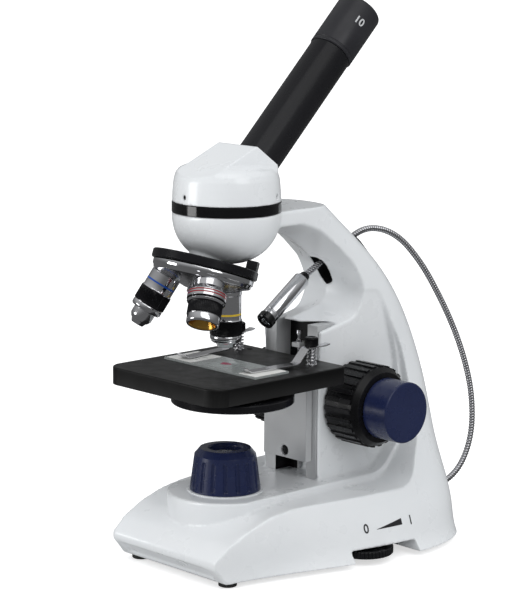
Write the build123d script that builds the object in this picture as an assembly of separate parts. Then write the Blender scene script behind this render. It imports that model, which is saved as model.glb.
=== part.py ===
from build123d import *
import os
from math import cos, degrees, pi, radians, sin, tan

# A student compound microscope.  While it is modelled, the optical axis is X = Y = 0 and the table is Z = 0.
# +X is the right-hand side, -Y the front (stage and lamp side), +Y the arm.  Lengths are millimetres.

# ---------------------------------------------------------------- fits
RUN_FIT = 0.05          # radial clearance of a shaft in its bore
LOOSE = 0.3             # clearance between parts that slide or turn past each other
SEAT_GAP = 0.02         # clearance of a part seated in a pocket

# ---------------------------------------------------------------- stand
FOOT_HEIGHT = 3.0
FOOT_RADIUS = 5.2
FOOT_STUD = 2.0
BASE_FRONT = -47.5      # front lip
BASE_LENGTH = 199.0     # front lip to back of the base
BASE_HALF_WIDTH = 71.0  # at the widest, near the back feet
LIP_HEIGHT = 17.0
PANEL_HALF_WIDTH = 36.0 # recess below the lip
PANEL_HEIGHTS = (4.8, 11.8)
PANEL_DEPTH = 1.6
DECK_HEIGHT = 38.0
PEDESTAL_HEIGHT = 42.0
PEDESTAL_RADIUS = 33.0
PEDESTAL_HALF_WIDTH = 31.0
CORE_HALF_WIDTH = 22.5
BLEND_HEIGHT = 150.0    # where the nested steps of the arm's sides run out
BLEND_HALF_WIDTH = 24.4
ARM_TOP = 201.6
ARM_TOP_HALF_WIDTH = 22.5
HEAD_RADIUS = 30.6
BOWL_DEPTH = 29.6
THROAT_TAPER = 15.0     # degrees, makes the inner face of the arm stand out along its middle
WALL = 3.2
COVER_THICKNESS = 2.4
SCREW_RADIUS = 1.5
CAVITY_FRONT_TOP = 18.0
DOOR_HALF_WIDTH = 29.0
DOOR_FRONT = 14.0
DOOR_BACK = 68.0
BOARD_HEIGHT = 20.0
BOARD_THICKNESS = 1.6
# right half of the plan of the base's hollow, X and Y
CAVITY_PLAN = [(26, -30), (36, -19), (41, 6), (50, 50), (54, 84), (38, 128), (24, 139)]

# ---------------------------------------------------------------- illuminator and electrics
RIM_THICKNESS = 0.6
RIM_RADIUS = 21.5
SPIGOT_RADIUS = 12.0
COLLAR_FOOT_RADIUS = 20.2
COLLAR_TOP_RADIUS = 17.6
COLLAR_HEIGHT = 20.3    # up to the edge of the chamfer
COLLAR_CROWN = 3.6      # height of the chamfered crown
COLLAR_BORE = 14.0
COLLAR_RIBS = 17
LAMP_WINDOW_RADIUS = 9.1
CELL_RADIUS = 7.1
CELL_LENGTH = 49.5
CELL_PITCH = 15.6
WHEEL_RADIUS = 17.0
WHEEL_X = 50.5
WHEEL_Y = 62.0
WHEEL_THICKNESS = 4.2
WHEEL_HEIGHT = 4.0
WHEEL_SPINDLE = 2.5
POT_RADIUS = 4.8
POT_HEIGHT = 9.0
NOTCH_FRONT = 42.5
NOTCH_BACK = 88.0
NOTCH_HEIGHT = 9.5

# ---------------------------------------------------------------- gooseneck lamp
NECK_RADIUS = 1.9
SLEEVE_RADIUS = 4.8
SLEEVE_LENGTH = 33.0
BEZEL_RADIUS = 5.3
BEZEL_LENGTH = 4.6
LAMP_TIP = (29.6, 134.9)        # Y, Z of the middle of the lamp's tip
LAMP_TILT = 35.6                # degrees below level
NECK_PIVOT = (78.0, 166.4)      # Y, Z where the front length of gooseneck starts to bend
BACK_EXIT_HEIGHT = 11.0
GOOSENECK_ROUTE = [             # Y, Z points, chosen by hand, from inside the gland up into the arm
    (153.0, 11.0), (181.0, 11.0), (202.0, 19.5), (212.5, 40.0), (211.5, 66.0), (203.5, 90.0),
    (192.0, 112.5), (177.5, 134.5), (160.5, 156.5), (139.0, 175.5), (114.0, 182.5), (94.5, 175.0),
    (80.1, 167.7)]
NECK_START = 8.0                # straight length of gooseneck behind the lamp
GLAND_RADIUS = 3.5
GLAND_FLANGE = 6.0
GLAND_FACE = 149.0              # Y of the flat that the gland's flange seats on
GLAND_TIP = 160.0
SLOT_WIDTH = 10.0
SLOT_LENGTH = 21.0
FRONT_SLOT = (76.0, 161.0)      # Y, Z of the slot's mouth under the arm
LINER_WIDTH = 18.0
LINER_LENGTH = 28.0
LINER_DEPTH = 3.0
LINER_PROUD = 0.8
LINER_PLACE = (101.9, 171.2)    # Y, Z of the slot's mouth on the arm's back
LINER_SLOPE = 46.0

# ---------------------------------------------------------------- focus
CHANNEL_FRONT = 52.0
CHANNEL_HALF_WIDTH = 20.8
CHANNEL_CHEEK = 8.0
CHANNEL_DEPTH = 14.0
CHANNEL_BACK = 2.5
CHANNEL_TOP = 132.5
CHANNEL_BOTTOM = 42.0
CHANNEL_ROOF = 3.0      # casting left over the channel
CARRIAGE_FRONT = 47.0
CARRIAGE_THICKNESS = 4.7
CARRIAGE_HALF_WIDTH = 17.4
CARRIAGE_BOTTOM = 52.8
FLANGE_LENGTH = 19.0
FLANGE_THICKNESS = 5.0
TONGUE_BOTTOM = 60.0
SHAFT_Y = 79.0
SHAFT_Z = 85.5
GEAR_MODULE = 0.8
PINION_TEETH = 14
BACKLASH = 0.3
RACK_WIDTH = 8.0
RACK_TEETH = 13
COARSE_SHAFT_RADIUS = 3.2
FINE_SHAFT_RADIUS = 1.5
BUSH_RADIUS = 5.4
COARSE_KNOB_RADIUS = 24.0
COARSE_KNOB_INNER = 23.1
COARSE_KNOB_OUTER = 47.6
COARSE_KNOB_RIBS = 26
FINE_KNOB_RADIUS = 17.6
FINE_KNOB_OUTER = 66.0
FOCUS_DOWN = 9.0
FOCUS_UP = 3.0

# ---------------------------------------------------------------- stage
STAGE_TOP = 113.5
STAGE_THICKNESS = 10.0
STAGE_HALF_WIDTH = 46.0
STAGE_FRONT = -49.6
STAGE_BACK = 50.8
STAGE_CORNER = 10.0
STAGE_BACK_CORNER = 4.0
STAGE_APERTURE = 8.0
ACCESSORY_SPACING = 52.0
ACCESSORY_Y = 43.0
ACCESSORY_HOLE = 1.75
SLIDE_LENGTH = 76.0
SLIDE_WIDTH = 26.0
SLIDE_THICKNESS = 1.1
COVER_GLASS = 18.0
COVER_GLASS_THICKNESS = 0.17
CLIP_X = 30.0
CLIP_Y = 38.0
CLIP_POST_RADIUS = 1.6
CLIP_LEAF_WIDTH = 6.6
CLIP_LEAF_THICKNESS = 0.7
CLIP_LEAF_HEIGHT = 10.0     # underside of the leaf at the post, above the stage
CLIP_TIP_Y = -11.0
CLIP_TIP_X = 26.0
CLIP_CLEARANCE = 0.3    # of the leaf over the bare slide, so that it passes over a cover glass
CLIP_WASHER_RADIUS = 3.3
CLIP_WASHER = 0.7
CLIP_KNOB_RADIUS = 3.9
CLIP_KNOB_HEIGHT = 5.6
CLIP_KNOB_RIBS = 24
CLIP_KNOB_GAP = 0.2
SPRING_RADIUS = 2.6
SPRING_WIRE = 0.45
DISC_RADIUS = 34.5
DISC_THICKNESS = 4.5
DISC_TOP = 101.5
DISC_PIVOT = (14.9, -8.35)
DISC_HOLES = (1.0, 2.5, 4.5, 6.0, 7.5)
DISC_BORE = 3.0
DISC_RECESS = 2.5       # depth of the hollow on the disc's underside
CONDENSER_RADIUS = 13.0
CONDENSER_ROOF = 2.5    # stage left over the condenser
LENS_FACE_RADIUS = 13.08

# ---------------------------------------------------------------- head
RING_HEIGHT = 5.6
HOUSING_RIDGE = 238.5       # height of the ridge across the top
HOUSING_RIDGE_HALF = 15.5
HOUSING_FRONT_SLOPE = 23.3  # degrees from level
HOUSING_CHEEK = (0.924, -0.145, 0.353)      # the way the right side facet faces
HOUSING_ROUND = [(30.2, 212.5), (29.9, 216.6), (29.4, 220.5), (28.4, 223.6), (26.6, 225.8), (23.7, 227.2),
                 (18.4, 228.5)]             # radius, height of the round part, upwards
HOUSING_WALL = 3.0
DOVETAIL_RADIUS = 20.0
DOVETAIL_HEIGHT = 6.5
SPIGOT_DEPTH = 5.6          # of the head ring in the arm
RING_SPIGOT_RADIUS = 22.0
LIGHT_BORE = 10.0
LIGHT_PATH = 8.0            # radius of the light's way through the arm and the nosepiece plate
TUBE_TILT = 45.0            # degrees from vertical, towards the back
TUBE_SEAT = (20.85, 226.15)     # Y, Z where the tube's axis meets the housing
TUBE_INSERT = 4.0           # depth of the tube in the housing
TUBE_RADIUS = 12.6
TUBE_BORE = 11.75
TUBE_LENGTH = 84.05
EYEPIECE_RADIUS = 13.3
EYEPIECE_CAP_LENGTH = 34.0
EYEPIECE_BARREL = 11.6
EYEPIECE_BARREL_LENGTH = 22.0
EYEPIECE_BORE = 9.6
EYE_LENS_RADIUS = 8.4
SET_SCREW_RADIUS = 1.4
SET_SCREW_HEIGHT = 211.3
SET_SCREW_TURNS = (-94, 26, 146)            # degrees from the right
PRISM_SIZE = 24.0

# ---------------------------------------------------------------- nosepiece and objectives
TURRET_TILT = 18.5
TURRET_APEX = 220.8         # height where the turret's axis and the optical axis cross
PLATE_DROP = 52.9           # from the apex, along the turret's axis, to the fixed plate's underside
PLATE_RADIUS = 30.0
PLATE_THICKNESS = 5.0
PLATE_BOSS = 10.0           # radius of the head's boss that the plate is bolted to
TURRET_RADIUS = 28.6
TURRET_RIM = 3.0
TURRET_DEPTH = 4.8
PIVOT_RADIUS = 3.5
OBJECTIVE_THREAD = 7.0
THREAD_LENGTH = 4.0
NOSE_TRAVEL = 1.8
NOSE_RADIUS = 6.4
LOW_REACH = 89.0            # from the apex to the tip
HIGH_REACH = 96.0
MIDDLE_TIP = 124.6          # height of the tip that is in use
OBJECTIVE_BARREL = 8.6
LOW_TURN = -120             # degrees round the turret from the objective in use
HUB_RADIUS = 8.0
CLICK_ANGLE = 52.0          # degrees from the back

pinion_radius = GEAR_MODULE * PINION_TEETH / 2
tooth_pitch = pi * GEAR_MODULE
stage_bottom = STAGE_TOP - STAGE_THICKNESS
base_back = BASE_FRONT + BASE_LENGTH
ring_top = ARM_TOP + RING_HEIGHT
turret_axis = Axis((0, 0, TURRET_APEX), (0, sin(radians(TURRET_TILT)), cos(radians(TURRET_TILT))))
collar_base = PEDESTAL_HEIGHT + RIM_THICKNESS
cavity_top = DECK_HEIGHT - WALL - 4
cell_axis_height = FOOT_HEIGHT + COVER_THICKNESS + 2.0 + CELL_RADIUS
carriage_back = CARRIAGE_FRONT + CARRIAGE_THICKNESS
tongue_back = CHANNEL_FRONT + CHANNEL_DEPTH - CHANNEL_BACK - LOOSE
rack_pitch_y = SHAFT_Y - pinion_radius
lamp_along = Vector(0, cos(radians(LAMP_TILT)), sin(radians(LAMP_TILT)))      # from the tip towards the arm
lamp_tip = Vector(0, *LAMP_TIP)
lamp_top = lamp_tip + lamp_along * (BEZEL_LENGTH + SLEEVE_LENGTH)
neck_pivot = Vector(0, *NECK_PIVOT)
lamp_pivot = lamp_top + lamp_along * (NECK_RADIUS + LOOSE)
tube_along = Vector(0, sin(radians(TUBE_TILT)), cos(radians(TUBE_TILT)))
tube_seat = Vector(0, *TUBE_SEAT)
tube_top = tube_seat + tube_along * TUBE_LENGTH
tube_start = tube_seat - tube_along * TUBE_INSERT
ridge_y = TUBE_SEAT[0] + TUBE_SEAT[1] - HOUSING_RIDGE
eyepiece_top = tube_top + tube_along * EYEPIECE_CAP_LENGTH
# distances down the turret's axis, from where it crosses the optical axis
plate_top = PLATE_DROP - PLATE_THICKNESS
turret_top = PLATE_DROP + LOOSE
leaf_bottom = STAGE_TOP + CLIP_LEAF_HEIGHT
knob_bottom = leaf_bottom + CLIP_LEAF_THICKNESS + CLIP_KNOB_GAP
leaf_lean = (CLIP_X - CLIP_TIP_X) / (CLIP_Y - CLIP_TIP_Y)


# ---------------------------------------------------------------- helpers
def rod(radius, start, end, inner=0.0):
    """Round bar or tube from one point to another."""
    axis = Vector(*end) - Vector(*start)
    plane = Plane(origin=start, z_dir=axis)
    bar = Cylinder(radius, axis.length, align=(Align.CENTER, Align.CENTER, Align.MIN))
    if inner:
        bar -= Cylinder(inner, axis.length, align=(Align.CENTER, Align.CENTER, Align.MIN))
    return plane * bar


def block(x_range, y_range, z_range):
    """Box between two corners."""
    size = [high - low for low, high in (x_range, y_range, z_range)]
    middle = [(high + low) / 2 for low, high in (x_range, y_range, z_range)]
    return Pos(*middle) * Box(*size)


def side_view(corners):
    """Face in the side view from (Y, Z, corner radius) values."""
    points = [(y, z) for y, z, _ in corners]
    radii = [radius for _, _, radius in corners]
    return Plane.YZ * make_face(FilletPolyline(*points, radius=radii, close=True))


def side_slab(corners, half_width):
    """Solid with that side view, as wide as twice half_width."""
    return extrude(side_view(corners), half_width, both=True)


def turned(points):
    """Body of revolution about a vertical axis from its (radius, height) outline."""
    outline = make_face(Plane.XZ * Polyline(*points, close=True))
    return revolve(outline, Axis.Z)


def mirrored(shape):
    """The shape's mirror image across the middle plane."""
    return mirror(shape, Plane.YZ)


def down_turret(distance, radial=0.0, angle=0.0):
    """Point a distance down the turret's axis, and out from it at an angle from the back towards +X."""
    plane = Plane(origin=turret_axis.position, x_dir=(1, 0, 0), z_dir=turret_axis.direction)
    local = (radial * sin(radians(angle)), radial * cos(radians(angle)), -distance)
    return plane.from_local_coords(local)


def along_turret(radius, start, end, inner=0.0):
    """Round bar or tube on the turret's axis, between two distances down it."""
    return rod(radius, down_turret(start), down_turret(end), inner)


def slot_prism(width, length, depth):
    """Stadium-shaped bar along local Z, its long way along local X."""
    return extrude(SlotOverall(length, width), depth, both=True)


# ---------------------------------------------------------------- stand
def shell_section(height, front, middle, side, side_y, back):
    """Plan outline of the outer shell at one height: straight front, swelling sides, round back."""
    corner = (side * 0.80, side_y + (back - side_y) * 0.74)
    right = Spline((front, BASE_FRONT - 4), (middle, 20.0), (side, side_y), corner, (0, back),
                   tangents=[(0.1, 1), (-1, 0)])
    left = mirror(right, Plane.YZ)
    nose = Line((-front, BASE_FRONT - 4), (front, BASE_FRONT - 4))
    return Pos(0, 0, height) * make_face([nose, right, left])


def outer_shell():
    """The skirt of the base and the spine of the arm as one smooth skin."""
    wide, back = BASE_HALF_WIDTH, base_back
    sections = [
        (FOOT_HEIGHT, 42.5, wide - 12.5, wide, 98, back - 2.5),
        (20, 43, wide - 18.5, wide - 8, 98, back - 0.4),
        (DECK_HEIGHT, 41.5, wide - 23.5, wide - 16, 98, back),
        (60, 36, wide - 33, wide - 28, 100, back),
        (85, 31, wide - 40, wide - 36.5, 105, back - 2.5),
        (115, 26, wide - 44.5, wide - 42.5, 102, back - 10.5),
        (BLEND_HEIGHT, 23, 23.5, 24.8, 88, back - 29.5),
        (172, 23.5, 23, 23.4, 71, back - 50),
        (190, 24, 22.8, ARM_TOP_HALF_WIDTH, 56, back - 72.5),
        (ARM_TOP, 24, 22.8, ARM_TOP_HALF_WIDTH, 45, back - 87)]
    return loft([shell_section(*section) for section in sections])


def shell_envelope():
    """Side view that cuts the skin down to the base, the spine and the upper arm."""
    return side_slab([
        (-38, FOOT_HEIGHT - 1, 0.8), (BASE_FRONT, LIP_HEIGHT - 4, 1.2), (BASE_FRONT, LIP_HEIGHT, 0.8),
        (-37, 25.0, 25), (-24, 31.0, 30), (-8, 36.0, 40), (10, DECK_HEIGHT, 40), (97, DECK_HEIGHT, 20),
        (119, 66, 26), (115, 112, 60), (99, BLEND_HEIGHT, 10), (-20, BLEND_HEIGHT, 1), (-20, 206, 1),
        (170, 206, 1), (170, FOOT_HEIGHT - 1, 1)], 90)


def arm_core():
    """The flat-sided inner step of the arm, between the pedestal and the upper arm."""
    core = side_slab([
        (CHANNEL_FRONT, 30, 1), (CHANNEL_FRONT, CHANNEL_TOP + CHANNEL_ROOF, 1), (72, BLEND_HEIGHT, 1),
        (99, BLEND_HEIGHT, 1), (122, 105, 1), (128, 30, 1)], 30)
    front_view = Polyline(
        (-CORE_HALF_WIDTH, 20), (CORE_HALF_WIDTH, 20), (CORE_HALF_WIDTH, 112),
        (BLEND_HALF_WIDTH, BLEND_HEIGHT), (-BLEND_HALF_WIDTH, BLEND_HEIGHT), (-CORE_HALF_WIDTH, 112),
        close=True)
    return core & extrude(Plane.XZ * make_face(front_view), 140, both=True)


def middle_step():
    """The pedestal round the illuminator and the narrow ridge that it turns into up the arm."""
    step = side_slab([
        (-PEDESTAL_RADIUS - 5, 12, 1), (-PEDESTAL_RADIUS - 5, PEDESTAL_HEIGHT, 1), (96, PEDESTAL_HEIGHT, 18),
        (116, 66, 26), (112.5, 112, 60), (99, BLEND_HEIGHT, 1), (103, BLEND_HEIGHT, 1), (132, 66, 10),
        (132, 12, 1)], 50)
    half = PEDESTAL_HALF_WIDTH
    front_view = Polyline(
        (-half, 10), (half, 10), (half, 56), (half - 3.5, 85), (half - 5.5, 115),
        (BLEND_HALF_WIDTH, BLEND_HEIGHT),
        (-BLEND_HALF_WIDTH, BLEND_HEIGHT), (5.5 - half, 115), (3.5 - half, 85), (-half, 56), close=True)
    plan = Cylinder(PEDESTAL_RADIUS, 400) + block((-half - 9, half + 9), (12, 160), (-200, 200))
    return step & extrude(Plane.XZ * make_face(front_view), 160, both=True) & plan


def throat_cut():
    """Space between the head and the channel, wider towards the sides than along the middle."""
    face = side_view([
        (-40, 187.0, 1), (36, 187.0, 16), (49, 182.5, 25), (62, 172.5, 40), (74, 161.5, 20),
        (80.5, 149.0, 8),
        (76, 140.5, 7), (CHANNEL_FRONT + 1, CHANNEL_TOP + CHANNEL_ROOF, 1), (-40, CHANNEL_TOP + 1, 1)])
    right = extrude(face, 40, taper=-THROAT_TAPER)
    return right + mirror(right, Plane.YZ)


def cavity_face(inset=0.0):
    """Plan of the base's hollow, drawn in by an inset."""
    plan = [(x - inset, y) for x, y in CAVITY_PLAN]
    plan[0] = (plan[0][0], plan[0][1] + inset)
    plan[-1] = (plan[-1][0], plan[-1][1] - inset)
    return make_face(Polyline(*plan, *[(-x, y) for x, y in reversed(plan)], close=True))


def base_cavity():
    """Hollow of the base, open below."""
    floor = cavity_face()
    low = extrude(floor, CAVITY_FRONT_TOP)
    high = extrude(floor, cavity_top)
    cavity = low + (high & block((-60, 60), (-6, 200), (0, 80)))
    for x, y in cover_screw_places():
        cavity -= rod(3.6, (x, y, FOOT_HEIGHT + COVER_THICKNESS + SEAT_GAP), (x, y, 40))
    for x, y in board_post_places():
        cavity -= rod(2.8, (x, y, BOARD_HEIGHT + BOARD_THICKNESS + SEAT_GAP), (x, y, 40))
    return cavity


def foot_places():
    return [(x * side, y) for side in (1, -1) for x, y in ((36.5, -31.5), (56, 112))]


def cover_screw_places():
    return [(x * side, y) for side in (1, -1) for x, y in ((19, -23), (31, 122))]


def board_post_places():
    return [(16, 97), (-16, 97), (31, 76)]


def slot_plane(y, z, slope):
    """Plane with local X down the arm and local Z square to it, for the gooseneck's slots."""
    direction = Vector(0, cos(radians(slope)), -sin(radians(slope)))
    normal = Vector(0, sin(radians(slope)), cos(radians(slope)))
    return Plane(origin=(0, y, z), x_dir=direction, z_dir=normal)


liner_plane = slot_plane(*LINER_PLACE, LINER_SLOPE)
slot_run = Vector(0, LINER_PLACE[0] - FRONT_SLOT[0], LINER_PLACE[1] - FRONT_SLOT[1]).normalized()
slot_middle = Vector(0, (LINER_PLACE[0] + FRONT_SLOT[0]) / 2, (LINER_PLACE[1] + FRONT_SLOT[1]) / 2)
passage_plane = Plane(origin=slot_middle, x_dir=Vector(0, slot_run.Z, -slot_run.Y), z_dir=slot_run)


def gooseneck_passage():
    """Stadium-shaped way through the arm, from its back to the slot above the stage."""
    return passage_plane * slot_prism(SLOT_WIDTH, SLOT_LENGTH, 30.0)


def stand_casting():
    shell = outer_shell() & shell_envelope()
    rim, middle, pole = (HEAD_RADIUS, ARM_TOP), (0, ARM_TOP), (0, ARM_TOP - BOWL_DEPTH)
    shoulder = (HEAD_RADIUS * 0.735, ARM_TOP - BOWL_DEPTH * 0.72)
    curve = Spline(pole, shoulder, rim, tangents=[(1, 0), (0, 1)])
    bowl = revolve(Plane.XZ * make_face([curve, Line(rim, middle), Line(middle, pole)]), Axis.Z)
    body = shell - throat_cut()
    body += middle_step()
    body += arm_core() - throat_cut()
    body += bowl
    body -= block((-60, 60), (-60, 0), (ARM_TOP - BOWL_DEPTH, ARM_TOP)) - bowl
    body += along_turret(PLATE_BOSS, plate_top - BOWL_DEPTH / 2, plate_top + 1)
    body -= Pos(0, 0, ARM_TOP) * Cylinder(300, 60, align=(Align.CENTER, Align.CENTER, Align.MIN))
    # seat of the nosepiece plate
    seat = Plane(origin=turret_axis.position - turret_axis.direction * (PLATE_DROP - PLATE_THICKNESS),
                 z_dir=-turret_axis.direction)
    body -= seat * Cylinder(36, 30, align=(Align.CENTER, Align.CENTER, Align.MIN))
    body -= base_cavity()
    # recessed panel below the front lip, on the face that slopes back to the front feet
    low, high = PANEL_HEIGHTS
    front, slope = BASE_FRONT - 2, (BASE_FRONT + 38.0) / (LIP_HEIGHT - 4 - FOOT_HEIGHT + 1)
    floor_low = -38.0 + slope * (low - FOOT_HEIGHT + 1) + PANEL_DEPTH
    floor_high = -38.0 + slope * (high - FOOT_HEIGHT + 1) + PANEL_DEPTH
    panel = [(front, low, 0.4), (floor_low, low, 0.4), (floor_high, high, 0.4), (front, high, 0.4)]
    body -= side_slab(panel, PANEL_HALF_WIDTH)
    # light path through the head, and the hole that the head ring's spigot drops into
    body -= rod(LIGHT_PATH, (0, 0, 150), (0, 0, 210))
    body -= rod(RING_SPIGOT_RADIUS + RUN_FIT, (0, 0, ARM_TOP - 6), (0, 0, ARM_TOP + 20))
    # illuminator well through the pedestal
    body -= rod(SPIGOT_RADIUS, (0, 0, 0), (0, 0, 80))
    # channel pocket, focus cavity and shaft bore
    pocket = CHANNEL_HALF_WIDTH + SEAT_GAP
    body -= block((-pocket, pocket), (CHANNEL_FRONT - 1, CHANNEL_FRONT + CHANNEL_DEPTH + SEAT_GAP),
                  (CHANNEL_BOTTOM - SEAT_GAP, CHANNEL_TOP + 0.5))
    body -= block((-10, 10), (CHANNEL_FRONT, SHAFT_Y + 12), (60, 110))
    body -= rod(BUSH_RADIUS + SEAT_GAP, (-40, SHAFT_Y, SHAFT_Z), (40, SHAFT_Y, SHAFT_Z))
    # dimmer notch and the pocket of the potentiometer
    body -= block((WHEEL_X - WHEEL_RADIUS - 1.5, 90), (NOTCH_FRONT, NOTCH_BACK), (-5, NOTCH_HEIGHT))
    body -= rod(POT_RADIUS + LOOSE, (WHEEL_X, WHEEL_Y, 0), (WHEEL_X, WHEEL_Y, BOARD_HEIGHT))
    # slot right through the arm, with a seat for its liner
    body -= liner_plane * slot_prism(LINER_WIDTH, LINER_LENGTH, LINER_DEPTH)
    body -= gooseneck_passage()
    # gland bore in the back wall, with a flat round it
    body -= rod(GLAND_RADIUS + SEAT_GAP, (0, 120, BACK_EXIT_HEIGHT), (0, 170, BACK_EXIT_HEIGHT))
    body -= rod(GLAND_FLANGE + LOOSE, (0, GLAND_FACE, BACK_EXIT_HEIGHT), (0, 170, BACK_EXIT_HEIGHT))
    # pivot of the nosepiece and room for its click spring
    body -= along_turret(PIVOT_RADIUS + SEAT_GAP, plate_top - 7, plate_top + 1)
    body -= click_bracket(LOOSE + 0.1)
    for x, y in foot_places():
        body -= rod(FOOT_STUD + SEAT_GAP, (x, y, 0), (x, y, FOOT_HEIGHT + 5))
    for x, y in cover_screw_places():
        body -= rod(SCREW_RADIUS + SEAT_GAP, (x, y, 0), (x, y, FOOT_HEIGHT + 10))
    return body


# ---------------------------------------------------------------- base hardware
def screw(radius, head_radius, head_height, length, at, direction):
    """Pan-head screw: shank from the seat along the direction, head standing out behind it."""
    start, along = Vector(*at), Vector(*direction)
    body = rod(radius, start, start + along * length)
    body += rod(head_radius, start - along * head_height, start)
    slot = Plane(origin=start - along * head_height, z_dir=along) * Box(head_radius * 2.2, 0.6, head_height)
    return body - slot


def bottom_cover():
    cover = extrude(Pos(0, 0, FOOT_HEIGHT) * cavity_face(LOOSE), COVER_THICKNESS)
    cover -= block((WHEEL_X - WHEEL_RADIUS - 1.6, 90), (NOTCH_FRONT - 1, NOTCH_BACK + 1), (-5, 30))
    cover -= block((-DOOR_HALF_WIDTH, DOOR_HALF_WIDTH), (DOOR_FRONT, DOOR_BACK), (-5, 30))
    for x, y in cover_screw_places():
        cover -= rod(SCREW_RADIUS + RUN_FIT, (x, y, 0), (x, y, 20))
    top = FOOT_HEIGHT + COVER_THICKNESS
    # ledges that the door's tabs slip behind, front and back
    for y in (DOOR_FRONT - 2, DOOR_BACK - 2):
        cover += block((-8, 8), (y, y + 4), (top, top + 1.2))
    return cover - rod(SCREW_RADIUS + RUN_FIT, (0, DOOR_BACK - 1, 0), (0, DOOR_BACK - 1, 20))


def battery_door():
    door = block((LOOSE - DOOR_HALF_WIDTH, DOOR_HALF_WIDTH - LOOSE), (DOOR_FRONT + LOOSE, DOOR_BACK - LOOSE),
                 (FOOT_HEIGHT, FOOT_HEIGHT + COVER_THICKNESS))
    door -= rod(SCREW_RADIUS + RUN_FIT, (0, DOOR_BACK - 1, 0), (0, DOOR_BACK - 1, 20))
    for row in range(-3, 4):
        x = row * 3.0
        door -= block((x - 0.5, x + 0.5), (DOOR_FRONT + 4, DOOR_FRONT + 14), (0, FOOT_HEIGHT + 0.6))
    return door


def cell_places():
    middle = (DOOR_FRONT + DOOR_BACK) / 2
    return [middle + row * CELL_PITCH for row in (-1, 0, 1)]


def battery_cells():
    cells = []
    for row, y in enumerate(cell_places()):
        flip = 1 if row % 2 else -1
        half = CELL_LENGTH / 2
        cell = rod(CELL_RADIUS, (-half, y, cell_axis_height), (half, y, cell_axis_height))
        nub = rod(2.6, (flip * half, y, cell_axis_height), (flip * (half + 0.9), y, cell_axis_height))
        cells.append(cell + nub)
    return Compound(cells)


def battery_holder():
    half = CELL_LENGTH / 2 + 4.4
    low, high = cell_places()[0] - CELL_PITCH / 2 - 1.2, cell_places()[-1] + CELL_PITCH / 2 + 1.2
    top = cell_axis_height + CELL_RADIUS + 2.0
    holder = block((-half, half), (low, high), (cell_axis_height - 3, top))
    inner = CELL_LENGTH / 2 + 2.2
    for y in cell_places():
        holder -= rod(CELL_RADIUS + LOOSE, (-inner, y, cell_axis_height), (inner, y, cell_axis_height))
        room = (y - CELL_RADIUS - LOOSE, y + CELL_RADIUS + LOOSE)
        holder -= block((-inner, inner), room, (0, cell_axis_height))
    for x in (-20, 20):
        holder += rod(3.0, (x, cell_places()[1], top - 1), (x, cell_places()[1], cavity_top - SEAT_GAP))
    return holder


def battery_contacts():
    inner = CELL_LENGTH / 2 + 2.2
    plates = []
    for side in (-1, 1):
        for row, y in enumerate(cell_places()):
            x = side * (inner - 0.22)
            z_range = (cell_axis_height - 5, cell_axis_height + 5)
            plates.append(block((x - 0.2, x + 0.2), (y - 5, y + 5), z_range))
            if (side > 0) != (row % 2 == 1):
                reach = CELL_LENGTH / 2 + 0.1
                plates[-1] += rod(3.2, (side * reach, y, cell_axis_height), (x, y, cell_axis_height), 2.4)
    return Compound(plates)


def control_board():
    y_range = (DOOR_BACK + 4.5, 104)
    board = block((-22, WHEEL_X + 0.3), y_range, (BOARD_HEIGHT, BOARD_HEIGHT + BOARD_THICKNESS))
    board &= block((-22, 48.5), y_range, (0, 60))
    board += block((36, WHEEL_X + 0.3), (WHEEL_Y - 5, 80), (BOARD_HEIGHT, BOARD_HEIGHT + BOARD_THICKNESS))
    board &= extrude(cavity_face(2 * LOOSE), DECK_HEIGHT)
    board += block((-8, 4), (82, 92), (BOARD_HEIGHT - 2.2, BOARD_HEIGHT))
    board += rod(3.2, (26, 92, BOARD_HEIGHT - 8), (26, 92, BOARD_HEIGHT))
    return board


def dimmer_potentiometer():
    pot = rod(POT_RADIUS, (WHEEL_X, WHEEL_Y, BOARD_HEIGHT - POT_HEIGHT), (WHEEL_X, WHEEL_Y, BOARD_HEIGHT))
    return pot - rod(WHEEL_SPINDLE + RUN_FIT, (WHEEL_X, WHEEL_Y, 0), (WHEEL_X, WHEEL_Y, BOARD_HEIGHT - 2))


def dimmer_wheel():
    top = WHEEL_HEIGHT + WHEEL_THICKNESS
    wheel = rod(WHEEL_RADIUS, (WHEEL_X, WHEEL_Y, WHEEL_HEIGHT), (WHEEL_X, WHEEL_Y, top))
    wheel = chamfer(wheel.edges().filter_by(GeomType.CIRCLE), 0.5)
    for turn in range(48):
        angle = turn * 2 * pi / 48
        x, y = WHEEL_X + WHEEL_RADIUS * cos(angle), WHEEL_Y + WHEEL_RADIUS * sin(angle)
        wheel -= rod(0.45, (x, y, WHEEL_HEIGHT - 1), (x, y, top + 1))
    return wheel + rod(WHEEL_SPINDLE, (WHEEL_X, WHEEL_Y, top - 1), (WHEEL_X, WHEEL_Y, BOARD_HEIGHT - 3))


def rubber_feet():
    feet = []
    for x, y in foot_places():
        foot = rod(FOOT_RADIUS, (x, y, 0), (x, y, FOOT_HEIGHT))
        foot = fillet(foot.edges().group_by(Axis.Z)[0], 0.6)
        feet.append(foot + rod(FOOT_STUD, (x, y, FOOT_HEIGHT - 0.5), (x, y, FOOT_HEIGHT + 4.5)))
    return Compound(feet)


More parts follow.
